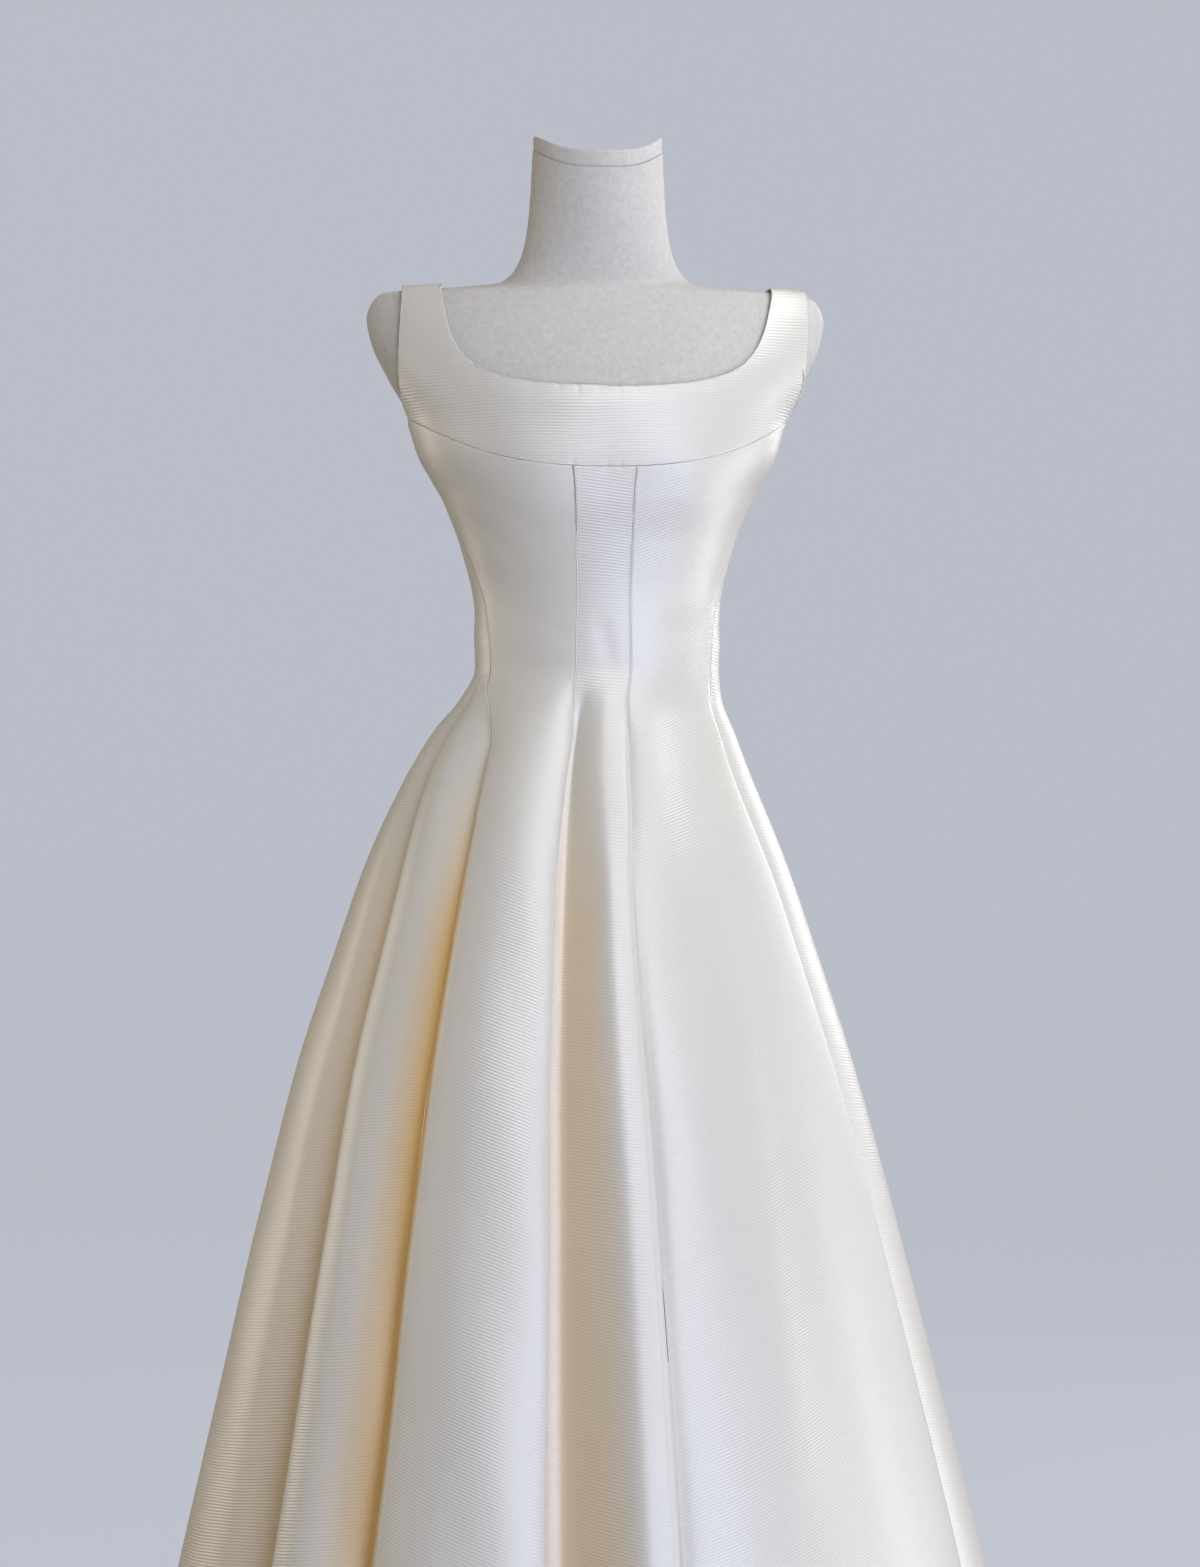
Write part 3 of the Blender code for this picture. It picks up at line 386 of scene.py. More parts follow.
def tape_at(height):
    return np.interp(height, FINE_ROWS[:, 0], FINE_TAPE)


def tape_on_shoulder(across):
    """Place on the tape where the top of the shoulder is this far across."""
    return np.interp(-across, -FINE_ROWS[WIDEST:, 1], FINE_TAPE[WIDEST:])


def figure_at(tape):
    """The columns of the figure's table at places on the tape."""
    rows = smooth(FIGURE_TAPE, FIGURE_ROWS, np.ravel(tape))
    return [column.reshape(np.shape(tape)) for column in rows.T]


def skin(angle, tape):
    """Points on the form."""
    height, wide, front, back, side, squareness = figure_at(tape)
    across = wide * signed_power(np.sin(angle), 2 / squareness)
    facing = np.cos(angle)
    depth = np.where(facing > 0, front + side, back - side)
    away = side - depth * signed_power(facing, 2 / squareness)
    over = ((np.abs(across) - BUST_ACROSS) / BUST_SPREAD) ** 2
    over = over + ((height - BUST_HEIGHT) / BUST_SPREAD) ** 2
    away = away - BUST_RISE * np.exp(-over) * np.clip(facing, 0.0, 1.0)
    return np.stack((across, away, height), axis=-1)


def fitted(angle, tape):
    """Outer points of cloth that follows the form, and the way out there."""
    base = skin(angle, tape)
    out = outward(skin, angle, tape, 0.002, 0.001)
    share = blend(BODICE_EASE_FROM, STRAP_EASE_FROM, base[..., 2])
    ease = BODICE_EASE + (STRAP_EASE - BODICE_EASE) * share
    return base + out * (ease + CLOTH)[..., None], out


# The plan of the skirt: u counts the rows of the fold table, and comes round to its start.
FOLD_COUNT = len(FOLDS)
FOLD_COLUMNS = np.array([fold[1:] for fold in FOLDS], float).T
PLAN_U = np.arange(FOLD_COUNT * PLAN_DETAIL + 1) / PLAN_DETAIL
PLAN_KNOTS = np.arange(-3, FOLD_COUNT + 4)


def round_and_round(column, turn):
    """A column of the fold table with three rows of the turns before and after."""
    return np.concatenate((column[-3:] - turn, column, column[:4] + turn))


def eased(curve, turn):
    """A closed curve with its corners softened."""
    reach = int(3 * PLAN_SOFTNESS)
    weights = np.exp(-0.5 * (np.arange(-reach, reach + 1) / PLAN_SOFTNESS) ** 2)
    once = curve[:-1]
    longer = np.concatenate((once[-reach:] - turn, once, once[:reach] + turn))
    soft = np.convolve(longer, weights / weights.sum(), mode="valid")
    return np.append(soft, soft[0] + turn)


def plan(height):
    """Angle and inset of the skirt at one height, all round."""
    waist, hip, thigh, hem, thigh_inset, hem_inset, _ = FOLD_COLUMNS
    angles = (hem, thigh, hip, waist, waist)
    angles = smooth((HEM, THIGH, HIP, RELEASE, FIT_MARKS[0]), angles, height)[0]
    insets = (hem_inset, thigh_inset, HIP_SHARE * thigh_inset, 0 * waist, 0 * waist)
    insets = smooth((HEM, THIGH, HIP, FOLDS_FROM, RELEASE), insets, height)[0] / 1000
    columns = (round_and_round(angles, 360.0), round_and_round(insets, 0.0))
    angle, inset = smooth(PLAN_KNOTS, np.transpose(columns), PLAN_U).T
    return np.radians(eased(angle, 360.0)), eased(inset, 0.0)


def flare_rows():
    """The skirt's inner sizes, from the hem up to where it joins the fitted bodice."""
    rows = []
    for flare in SKIRT:
        sizes = (flare.half_width - CLOTH, flare.front - CLOTH, flare.back - CLOTH)
        rows.append((flare.height, *sizes, flare.shift, flare.squareness))
    for height in reversed(FIT_MARKS):
        _, wide, front, back, side, squareness = figure_at(tape_at(height))
        sizes = (wide + BODICE_EASE, front + BODICE_EASE, back + BODICE_EASE)
        rows.append((height, *sizes, 0.0, squareness))
    return np.array(rows)


FLARE_ROWS = flare_rows()
WAIST_ANGLE = plan(RELEASE)[0]
# Painted warm tint and painted glow of the folds all round, from the fold table's last column
PAINTED_WARMTH = eased(smooth(PLAN_KNOTS, round_and_round(FOLD_COLUMNS[-1], 0.0), PLAN_U)[:, 0], 0.0)


def skirt(u, height):
    """Inner points of the skirt at one height."""
    plan_angle, plan_inset = plan(height)
    wrapped = np.mod(u, FOLD_COUNT)
    angle = np.interp(wrapped, PLAN_U, plan_angle)
    inset = np.interp(wrapped, PLAN_U, plan_inset)
    sizes = smooth(FLARE_ROWS[:, 0], FLARE_ROWS[:, 1:], height)[0]
    wide, front, back, shift, squareness = sizes
    across = wide * signed_power(np.sin(angle), 2 / squareness)
    facing = np.cos(angle)
    away = -np.where(facing > 0, front, back) * signed_power(facing, 2 / squareness)
    reach = 1 - inset / np.hypot(across, away)
    return np.stack((shift + across * reach, away * reach, 0 * u + height), axis=-1)


def fan_angle(u, height):
    """Angle of a place u above the waist, where the seams spread towards the armholes."""
    low = np.interp(u, PLAN_U, WAIST_ANGLE)
    waist, top = np.radians(np.array(SEAM_FANS)).T
    high = np.sign(low) * smooth(waist, top, np.abs(low))[:, 0]
    return low + (high - low) * blend(RELEASE, FAN_TO, height)


def top_height(u):
    """Height where each column of a panel starts: yoke seam, underarm or back."""
    angle = np.degrees(np.abs(fan_angle(u, FAN_TO)))
    height = np.full(len(u), YOKE_LOW)
    for _ in range(12):
        across = np.abs(skin(np.radians(angle), tape_at(height))[:, 0])
        share = np.clip(across / YOKE_CORNER_X, 0.0, 1.0)
        height = YOKE_LOW + (YOKE_CORNER - YOKE_LOW) * share ** YOKE_CURVE
    along = np.clip((angle - FRONT_CORNER_ANGLE) / (BACK_CORNER_ANGLE - FRONT_CORNER_ANGLE), 0, 1)
    underarm = YOKE_CORNER + (BACK_CORNER - YOKE_CORNER) * along
    underarm = underarm - 4 * UNDERARM_DIP * along * (1 - along)
    inward = np.clip((180.0 - angle) / (180.0 - BACK_CORNER_ANGLE), 0.0, 1.0)
    back = BACK_LOW + (BACK_CORNER - BACK_LOW) * inward ** BACK_CURVE
    height = np.where(angle >= FRONT_CORNER_ANGLE - 0.01, underarm, height)
    return np.where(angle > BACK_CORNER_ANGLE + 0.01, back, height)


def seam_u(name):
    return [fold.name for fold in FOLDS].index("seam " + name)


def crowded(first, last, count):
    """Places from first to last, closer together at both ends."""
    even = np.linspace(0.0, 1.0, count)
    return first + (last - first) * (even - EDGE_CROWDING * np.sin(2 * np.pi * even) / (2 * np.pi))


def lengths(points, axis):
    """Distance along rows (axis 1) or columns (axis 0) of a grid of points, from its start."""
    steps = np.linalg.norm(np.diff(points, axis=axis), axis=-1)
    start = np.zeros_like(np.take(steps, [0], axis=axis))
    return np.concatenate((start, np.cumsum(steps, axis=axis)), axis=axis)


# Panels, laid from the hem up

def panel_rows(u, rise):
    """Outer points and the way out for a panel, from the hem up to its top edge."""
    faces, ways = [], []
    for height in HEM + (RELEASE - HEM) * np.linspace(0.0, 1.0, SKIRT_ROWS)[:-1] ** SKIRT_CROWDING:
        along = skirt(u + 1 / PLAN_DETAIL, height) - skirt(u - 1 / PLAN_DETAIL, height)
        up = skirt(u, height + SLOPE_STEP) - skirt(u, height - SLOPE_STEP)
        way = unit(np.cross(along, up))
        faces.append(skirt(u, height) + way * CLOTH)
        ways.append(way)
    top = top_height(u) - rise
    for share in 1 - (1 - np.linspace(0.0, 1.0, BODICE_ROWS)) ** BODICE_CROWDING:
        height = RELEASE + (top - RELEASE) * share
        face, way = fitted(fan_angle(u, height), tape_at(height))
        faces.append(face)
        ways.append(way)
    return np.array(faces), np.array(ways)


def crease_depth(piece, points):
    """How deep the piece's listed creases are at each point."""
    angle = np.degrees(np.arctan2(points[..., 0], -points[..., 1]))
    radius = np.hypot(points[..., 0], points[..., 1])
    depth = np.zeros(angle.shape)
    for crease in CREASES:
        if crease.piece != piece:
            continue
        across = np.radians(angle - crease.angle) * radius
        rise = points[..., 2] - crease.height
        run = math.radians(crease.to_angle - crease.angle) * radius
        climb = crease.to_height - crease.height
        length = np.hypot(run, climb)
        share = (across * run + rise * climb) / length ** 2
        aside = (across * climb - rise * run) / length
        start = blend(-CREASE_FADE, CREASE_FADE, share)
        fade = start * blend(1 + CREASE_FADE, 1 - CREASE_FADE, share)
        depth += crease.depth * np.exp(-(aside * 1000 / crease.width) ** 2) * fade
    return depth / 1000


def pucker_depth(puckers, across, away):
    """How deep a seam's puckers are, by the place across and the distance from the seam."""
    depth = np.zeros(across.shape)
    for pucker in puckers:
        side = (across * 1000 - pucker.across) / pucker.width
        fall = np.exp(-(away * 1000 / pucker.reach) ** 2)
        depth += pucker.depth * np.exp(-side ** 2) * fall
        depth -= PUCKER_RIM * pucker.depth * np.exp(-(np.abs(side) - PUCKER_RIM_AT) ** 2) * fall
    return depth / 1000


def seam_dip(distance, dip, roll):
    """How far the face sinks beside a sewn seam, with the low welt of its allowance."""
    welt = WELT_HEIGHT * dip * np.exp(-((distance - WELT_PLACE * roll) / roll) ** 2)
    return dip * np.exp(-(distance / roll) ** 2) - welt


def ripple(points, cycle, seed):
    """Slow uneven swells of hanging cloth, longer down than across, from a few crossed waves."""
    x, y, z = np.moveaxis(points, -1, 0) * (2 * math.pi / cycle)
    z = z * HANG_STRETCH
    waves = np.sin(1.3 * x + 0.4 * z + seed) * np.sin(0.9 * z + 0.7 * y + 2 * seed)
    return waves + 0.6 * np.sin(0.8 * y - 0.5 * z + 3 * seed) * np.sin(1.7 * x + 1.1 * z)


def turned(points, ways, profile, side):
    """Adds a turned edge to a grid, on its first or last row or column."""
    columns = side in ("first column", "last column")
    points = np.swapaxes(points, 0, 1) if columns else points
    ways = np.swapaxes(ways, 0, 1) if columns else ways
    first = side.startswith("first")
    near, next_in = (0, 2) if first else (-1, -3)
    edge, neighbour, way = points[near], points[next_in], ways[near]
    inward = unit(neighbour - edge)
    extra = [edge + inward * step + way * drop for step, drop in profile]
    extra_way = [unit(way - inward * min(1.0, -drop / EDGE_ROUND)) for _, drop in profile]
    if first:
        points = np.concatenate((extra[::-1], points[1:]))
        ways = np.concatenate((extra_way[::-1], ways[1:]))
    else:
        points = np.concatenate((points[:-1], extra))
        ways = np.concatenate((ways[:-1], extra_way))
    return (np.swapaxes(points, 0, 1), np.swapaxes(ways, 0, 1)) if columns else (points, ways)


def lay_grid(name, points):
    """A grid added as a primitive and laid on these points, row by row."""
    rows, columns = points.shape[:2]
    bpy.ops.object.select_all(action="DESELECT")
    bpy.ops.mesh.primitive_grid_add(x_subdivisions=columns - 1, y_subdivisions=rows - 1, size=1.0)
    thing = bpy.context.object
    thing.name = thing.data.name = name
    thing.location = (0.0, 0.0, 0.0)
    thing.data.vertices.foreach_set("co", points.astype(np.float32).ravel())
    thing.data.update()
    return thing


def map_cloth(thing, across, along, glow):
    """The cloth's own map in metres along its weft and warp, and the painted warm tint and glow of its
    folds.
    """
    mesh = thing.data
    corners = np.zeros(len(mesh.loops), np.int32)
    mesh.loops.foreach_get("vertex_index", corners)
    places = np.stack((across.ravel()[corners], along.ravel()[corners]), axis=-1)
    mesh.uv_layers[0].name = "weave"
    mesh.uv_layers["weave"].data.foreach_set("uv", places.astype(np.float32).ravel())
    mark = mesh.attributes.new("glow", "FLOAT", "POINT")
    mark.data.foreach_set("value", np.ascontiguousarray(glow, np.float32).ravel())


def merge_close(distance, face_out=False):
    """Merges points of the active mesh that lie together, and may turn its faces outwards."""
    bpy.ops.object.mode_set(mode="EDIT")
    bpy.ops.mesh.select_all(action="SELECT")
    bpy.ops.mesh.remove_doubles(threshold=distance)
    if face_out:
        bpy.ops.mesh.normals_make_consistent(inside=False)
    bpy.ops.object.mode_set(mode="OBJECT")


def cover(thing, material):
    """Gives a piece one material."""
    thing.data.materials.clear()
    thing.data.materials.append(material)


def finish_cloth(pieces, name, material, thick):
    """Joins the grids of one piece of cloth, gives it thickness and a material."""
    bpy.ops.object.select_all(action="DESELECT")
    for piece in pieces:
        piece.select_set(True)
    bpy.context.view_layer.objects.active = pieces[0]
    if len(pieces) > 1:
        bpy.ops.object.join()
    thing = bpy.context.object
    thing.name = thing.data.name = name
    merge_close(CLOTH_MERGE)
    wall = thing.modifiers.new("thickness", "SOLIDIFY")
    wall.thickness = thick
    wall.offset = -1.0
    wall.use_rim = True
    bpy.ops.object.modifier_apply(modifier=wall.name)
    bpy.ops.object.shade_smooth()
    cover(thing, material)
    return thing


def panel_grid(panel, dips):
    """One panel from hem to top, with its folds, seams and creases."""
    start, end = seam_u(panel.first), seam_u(panel.last)
    end = end if end > start else end + FOLD_COUNT
    u = crowded(start, end, panel.columns)
    points, ways = panel_rows(u, dips.gap / 2 if panel.yoke else 0.0)
    row_length = lengths(points, 1)
    beside = np.minimum(row_length, row_length[:, -1:] - row_length)
    below = lengths(points[::-1], 0)[::-1]
    sink = seam_dip(beside, dips.depth, dips.roll) + crease_depth(panel.node, points)
    if panel.node in LIPPED:
        sink = sink - dips.lip * np.exp(-((row_length[:, -1:] - row_length) / dips.roll) ** 2)
    if panel.yoke:
        sink = sink + seam_dip(below, dips.depth, dips.roll)
        sink = sink + pucker_depth(YOKE_PUCKERS, points[..., 0] - PUCKER_ZERO, below) * BELOW_SEAM
    loose = blend(LOOSE_FROM, HIP, points[..., 2])
    swell = FITTED_SWELL + LOOSE_SWELL * loose
    sink = sink + ripple(points, SWELL_CYCLE, len(panel.node)) * swell
    points = points - ways * sink[..., None]
    points[:, 0] += unit(points[:, 1] - points[:, 0]) * dips.gap / 2
    points[:, -1] += unit(points[:, -2] - points[:, -1]) * dips.gap / 2
    # Painted warm tint and painted glow of the fold each column lies in, fading out towards the waist
    glow = np.interp(np.mod(u, FOLD_COUNT), PLAN_U, PAINTED_WARMTH)[None, :]
    glow = glow * blend(PAINTED_WARMTH_GONE, PAINTED_WARMTH_FULL, points[..., 2])
    return u, points, ways, glow


def hem_and_seam_turns(points, ways, glow, top_profile):
    """Turned edges on all sides of a panel, with the painted fold warmth carried over."""
    for side, profile in (("first column", SEAM_TURN), ("last column", SEAM_TURN),
                          ("first row", HEM_TURN), ("last row", top_profile)):
        extra = len(profile) - 1
        points, ways = turned(points, ways, profile, side)
        pad = (extra, 0) if side.startswith("first") else (0, extra)
        glow = np.pad(glow, ((0, 0), pad) if "column" in side else (pad, (0, 0)), mode="edge")
    return points, ways, glow


def edge_path(edge, hand, behind):
    """An edge as angles and tape places, in even steps, from the shoulder seam on."""
    across, drop = np.array(edge).T
    root = np.sqrt(drop) * ROOT_SCALE
    knots = np.concatenate(([0.0], np.cumsum(np.hypot(np.diff(across), np.diff(root)))))
    fine = smooth(knots, np.stack((across, root), axis=-1), np.linspace(0.0, knots[-1], EDGE_STEPS + 1))
    drop = (fine[:, 1] / ROOT_SCALE) ** 2
    hang = hand * HANG_SHIFT * (1 - drop / STRAP_DROP) * fine[:, 0] / fine[0, 0]
    across = fine[:, 0] + hang
    shoulder = FINE_ROWS[WIDEST:]
    start = np.interp(-across[0], -shoulder[:, 1], shoulder[:, 0])
    tape = tape_at(start - drop)
    tape[0] = tape_on_shoulder(across[0])
    _, wide, _, _, _, squareness = figure_at(tape)
    angle = np.arcsin(np.clip(across / wide, 0.0, 1.0) ** (squareness / 2))
    angle[0] = math.pi / 2
    angle = math.pi - angle if behind else angle
    return hand * angle, tape


def along_path(path, shares):
    """Places on a path at shares of its length."""
    angle, tape = path
    length = lengths(skin(angle, tape), 0)
    where = np.asarray(shares) * length[-1]
    return np.interp(where, length, angle), np.interp(where, length, tape)


def half_rungs(neckline, armhole, u, hand, behind):
    """Rung ends of half a front or back: strap first, then on to the centre."""
    neck = edge_path(neckline, hand, behind)
    arm = edge_path(armhole, hand, behind)
    panel_angle = fan_angle(u, FAN_TO)
    panel_tape = tape_at(top_height(u))
    arm[0][-1] = panel_angle[0]
    arm[1][-1] = panel_tape[0]
    strap = (np.arange(STRAP_RUNGS + 1) / STRAP_RUNGS) ** STRAP_CROWDING
    strap_outer = along_path(arm, strap)
    steps = lengths(skin(panel_angle, panel_tape), 0)[1:]
    onward = CORNER_SHARE + (1 - CORNER_SHARE) * steps / steps[-1]
    shares = np.concatenate((strap * CORNER_SHARE, onward))
    inner = along_path(neck, shares)
    outer = (np.concatenate((strap_outer[0], panel_angle[1:])),
             np.concatenate((strap_outer[1], panel_tape[1:])))
    return inner, outer


def rung_grid(inner_ends, outer_ends):
    """Outer points and the way out across every rung, from the neckline out."""
    share = crowded(0.0, 1.0, YOKE_CELLS + 1)[:, None]
    angle = inner_ends[0] + (outer_ends[0] - inner_ends[0]) * share
    tape = inner_ends[1] + (outer_ends[1] - inner_ends[1]) * share
    return fitted(angle, tape)


def yoke_grid(dips):
    """The whole yoke with both front straps, from the left shoulder seam to the right."""
    u = crowded(seam_u("left side front"), seam_u("right side front"), YOKE_COLUMNS)
    angle = fan_angle(u, FAN_TO)
    left = u[angle <= 0]
    right = u[angle >= 0][::-1]
    left_inner, left_outer = half_rungs(NECKLINE, ARMHOLE, left, -1, False)
    right_inner, right_outer = half_rungs(NECKLINE, ARMHOLE, right, 1, False)
    inner_ends = [np.concatenate((a, b[::-1])) for a, b in zip(left_inner, right_inner)]
    outer_ends = [np.concatenate((a, b[::-1])) for a, b in zip(left_outer, right_outer)]
    points, ways = rung_grid(inner_ends, outer_ends)
    from_neck = lengths(points, 0)
    from_seam = from_neck[-1:] - from_neck
    count = points.shape[1]
    place = np.arange(count)
    before, after = YOKE_SEAM_FADE
    on_seam = blend(STRAP_RUNGS - before, STRAP_RUNGS + after, np.minimum(place, count - 1 - place))
    sink = seam_dip(from_seam, dips.depth, dips.roll) * on_seam
    across = points[..., 0] - PUCKER_ZERO
    sink = sink + pucker_depth(YOKE_PUCKERS, across, from_seam) * on_seam
    sink = sink + pucker_depth(NECK_PUCKERS, across, from_neck) * on_seam
    sink = sink + ripple(points, YOKE_SWELL_CYCLE, YOKE_SWELL_SEED) * YOKE_SWELL
    points = points - ways * sink[..., None]
    points[-1] += unit(points[-2] - points[-1]) * (dips.gap / 2) * on_seam[:, None]
    return points, ways


def back_top_grid(u, hand, dips):
    """The strap and upper back of one side, down to the line where its panel starts."""
    ordered = u if hand > 0 else u[::-1]
    inner_ends, outer_ends = half_rungs(BACK_NECKLINE, BACK_ARMHOLE, ordered, hand, True)
    points, ways = rung_grid(inner_ends, outer_ends)
    points[:, -1] += unit(points[:, -2] - points[:, -1]) * dips.gap / 2
    return points, ways


Dips = namedtuple("Dips", "gap depth roll lip")


def seam_dips(sizes):
    return Dips(sizes.seam_gap, sizes.seam_depth, sizes.seam_roll, sizes.seam_lip)


def declare(thing, node):
    """Sets a piece of cloth in the frame in place of its solid."""
    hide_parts(node)
    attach(thing, "root")


# Materials

def add(tree, kind, links, **settings):
    """Adds a node with its settings, and links or sets its inputs."""
    node = tree.nodes.new(kind)
    for name, value in settings.items():
        setattr(node, name, value)
    for name, value in links.items():
        if isinstance(value, bpy.types.NodeSocket):
            tree.links.new(value, node.inputs[name])
        else:
            node.inputs[name].default_value = value
    return node


def new_material(name):
    """An empty material with its shader and output, and the way to them."""
    material = bpy.data.materials.get(name) or bpy.data.materials.new(name)
    material.use_nodes = True
    tree = material.node_tree
    tree.nodes.clear()
    shader = tree.nodes.new("ShaderNodeBsdfPrincipled")
    output = tree.nodes.new("ShaderNodeOutputMaterial")
    tree.links.new(shader.outputs["BSDF"], output.inputs["Surface"])
    return material, tree, shader


WAVE_CYCLE = math.pi / 10   # length of a wave texture's band at scale 1
RIB_SPACING = 0.0029
THREAD_SPACING = 0.0011


def woven_satin(finish):
    """Ivory duchess satin, tightly woven: a smooth dense face with long soft highlights."""
    material, tree, shader = new_material("ivory_duchess_satin_woven")
    place = add(tree, "ShaderNodeUVMap", {}, uv_map="weave")
    glow = add(tree, "ShaderNodeAttribute", {}, attribute_name="glow")
    # The weft's fine ribs, coarser than real ones so that they show at this distance
    bend = add(tree, "ShaderNodeTexNoise", {"Vector": place.outputs["UV"], "Scale": 9.0, "Detail": 1.0})
    shift = add(tree, "ShaderNodeVectorMath", {0: bend.outputs["Color"], 1: (0.0, 0.010, 0.0)},
                operation="MULTIPLY")
    moved = add(tree, "ShaderNodeVectorMath", {0: place.outputs["UV"], 1: shift.outputs["Vector"]},
                operation="ADD")
    ribs = add(tree, "ShaderNodeTexWave", {"Vector": moved.outputs["Vector"],
                                           "Scale": WAVE_CYCLE / RIB_SPACING, "Distortion": 0.6,
                                           "Detail": 1.0, "Detail Scale": 0.4},
               wave_type="BANDS", bands_direction="Y", wave_profile="SIN")
    # Slubs: threads a little thicker than the rest, long along the weft
    stretch = add(tree, "ShaderNodeMapping", {"Vector": place.outputs["UV"], "Scale": (60.0, 900.0, 1.0)})
    slubs = add(tree, "ShaderNodeTexNoise", {"Vector": stretch.outputs["Vector"], "Scale": 1.0,
                                             "Detail": 3.0, "Roughness": 0.6})
    weave = add(tree, "ShaderNodeMath", {0: slubs.outputs["Fac"], 1: 0.5, 2: ribs.outputs["Fac"]},
                operation="MULTIPLY_ADD")
    bump = add(tree, "ShaderNodeBump", {"Height": weave.outputs["Value"], "Strength": 1.0,
                                        "Distance": 0.00013})
    # Colour: ivory with a faint uneven tone, and a painted warm tint deep in a fold in place of light
    # bouncing there
    tone = add(tree, "ShaderNodeTexNoise", {"Vector": place.outputs["UV"], "Scale": 3.0, "Detail": 2.0})
    ivory = add(tree, "ShaderNodeMix", {0: tone.outputs["Fac"], 6: (*finish.satin_light, 1.0),
                                        7: (*finish.satin_shade, 1.0)}, data_type="RGBA")
    painted_fold_tint = add(tree, "ShaderNodeMix", {0: glow.outputs["Fac"], 6: ivory.outputs[2],
                                       7: (*finish.satin_painted_fold, 1.0)}, data_type="RGBA")
    tree.links.new(painted_fold_tint.outputs[2], shader.inputs["Base Color"])
    # Painted glow: the deep of a fold gives off warm light of its own, in place of light passing through
    # the cloth, so it doesn't go dark
    painted_glow = add(tree, "ShaderNodeMath", {0: glow.outputs["Fac"], 1: finish.painted_fold_glow}, operation="MULTIPLY")
    shader.inputs["Emission Color"].default_value = (*finish.satin_painted_fold, 1.0)
    tree.links.new(painted_glow.outputs["Value"], shader.inputs["Emission Strength"])
    tree.links.new(bump.outputs["Normal"], shader.inputs["Normal"])
    shader.inputs["Roughness"].default_value = 0.38
    shader.inputs["IOR"].default_value = 2.15
    shader.inputs["Sheen Weight"].default_value = 0.10
    shader.inputs["Sheen Roughness"].default_value = 0.40
    return material


def woven_canvas(finish, name, colour):
    """Cotton canvas, plain woven and stretched tight: dull, pale, with a mottled grain."""
    material, tree, shader = new_material(name)
    place = add(tree, "ShaderNodeTexCoord", {})
    point = place.outputs["Object"]
    # Threads run both ways, with a mottle a few millimetres across where the cover has aged
    warp, weft = [add(tree, "ShaderNodeTexWave", {"Vector": point, "Scale": WAVE_CYCLE / THREAD_SPACING,
                                                  "Distortion": 1.5, "Detail": 2.0},
                      wave_type="BANDS", bands_direction=way) for way in "XZ"]
    threads = add(tree, "ShaderNodeMath", {0: warp.outputs["Fac"], 1: weft.outputs["Fac"]},
                  operation="MAXIMUM")
    grain = add(tree, "ShaderNodeTexNoise", {"Vector": point, "Scale": 420.0, "Detail": 4.0,
                                             "Roughness": 0.65})
    mottle = add(tree, "ShaderNodeTexNoise", {"Vector": point, "Scale": 170.0, "Detail": 4.0,
                                              "Roughness": 0.62})
    height = add(tree, "ShaderNodeMath", {0: grain.outputs["Fac"], 1: 1.6, 2: threads.outputs["Value"]},
                 operation="MULTIPLY_ADD")
    bump = add(tree, "ShaderNodeBump", {"Height": height.outputs["Value"], "Strength": 0.55,
                                        "Distance": 0.00012})
    spread = add(tree, "ShaderNodeMapRange", {"Value": mottle.outputs["Fac"], "From Min": 0.35,
                                              "From Max": 0.68})
    aged = add(tree, "ShaderNodeMix", {0: spread.outputs["Result"], 6: (*colour, 1.0),
                                       7: (*finish.canvas_shade, 1.0)}, data_type="RGBA")
    speck = add(tree, "ShaderNodeMapRange", {"Value": grain.outputs["Fac"], "From Min": 0.30,
                                             "From Max": 0.70, "To Min": 0.93, "To Max": 1.04})
    tinted = add(tree, "ShaderNodeVectorMath", {0: aged.outputs[2], "Scale": speck.outputs["Result"]},
                 operation="SCALE")
    tree.links.new(tinted.outputs["Vector"], shader.inputs["Base Color"])
    tree.links.new(bump.outputs["Normal"], shader.inputs["Normal"])
    shader.inputs["Roughness"].default_value = 0.88
    shader.inputs["Sheen Weight"].default_value = 0.15
    return material


def brushed_steel(finish):
    """Stainless steel, brushed: grey, with fine lines that spread its highlights."""
    material, tree, shader = new_material("stainless_steel_brushed")
    place = add(tree, "ShaderNodeTexCoord", {})
    stretch = add(tree, "ShaderNodeMapping", {"Vector": place.outputs["Object"],
                                              "Scale": (60.0, 60.0, 1500.0)})
    lines = add(tree, "ShaderNodeTexNoise", {"Vector": stretch.outputs["Vector"], "Scale": 1.0,
                                             "Detail": 3.0})
    bump = add(tree, "ShaderNodeBump", {"Height": lines.outputs["Fac"], "Strength": 0.3,
                                        "Distance": 0.00003})
    rough = add(tree, "ShaderNodeMapRange", {"Value": lines.outputs["Fac"], "To Min": 0.26, "To Max": 0.42})
    shader.inputs["Base Color"].default_value = (*finish.steel, 1.0)
    tree.links.new(rough.outputs["Result"], shader.inputs["Roughness"])
    tree.links.new(bump.outputs["Normal"], shader.inputs["Normal"])
    shader.inputs["Metallic"].default_value = 1.0
    return material


def seamless_paper(stage):
    """Studio backdrop paper, rolled and matt: an even pale blue-grey."""
    material, tree, shader = new_material("backdrop_paper_matt")
    shader.inputs["Base Color"].default_value = (*stage.backdrop_paint, 1.0)
    shader.inputs["Roughness"].default_value = 1.0
    shader.inputs["Specular IOR Level"].default_value = 0.0
    shader.inputs["Emission Color"].default_value = (*stage.backdrop, 1.0)
    shader.inputs["Emission Strength"].default_value = stage.backdrop_glow
    return material


# Sizes and colours that a user may change

def colour_setting(name, description, code):
    return FloatVectorProperty(name=name, description=description, size=3, subtype="COLOR",
                               default=linear(code))


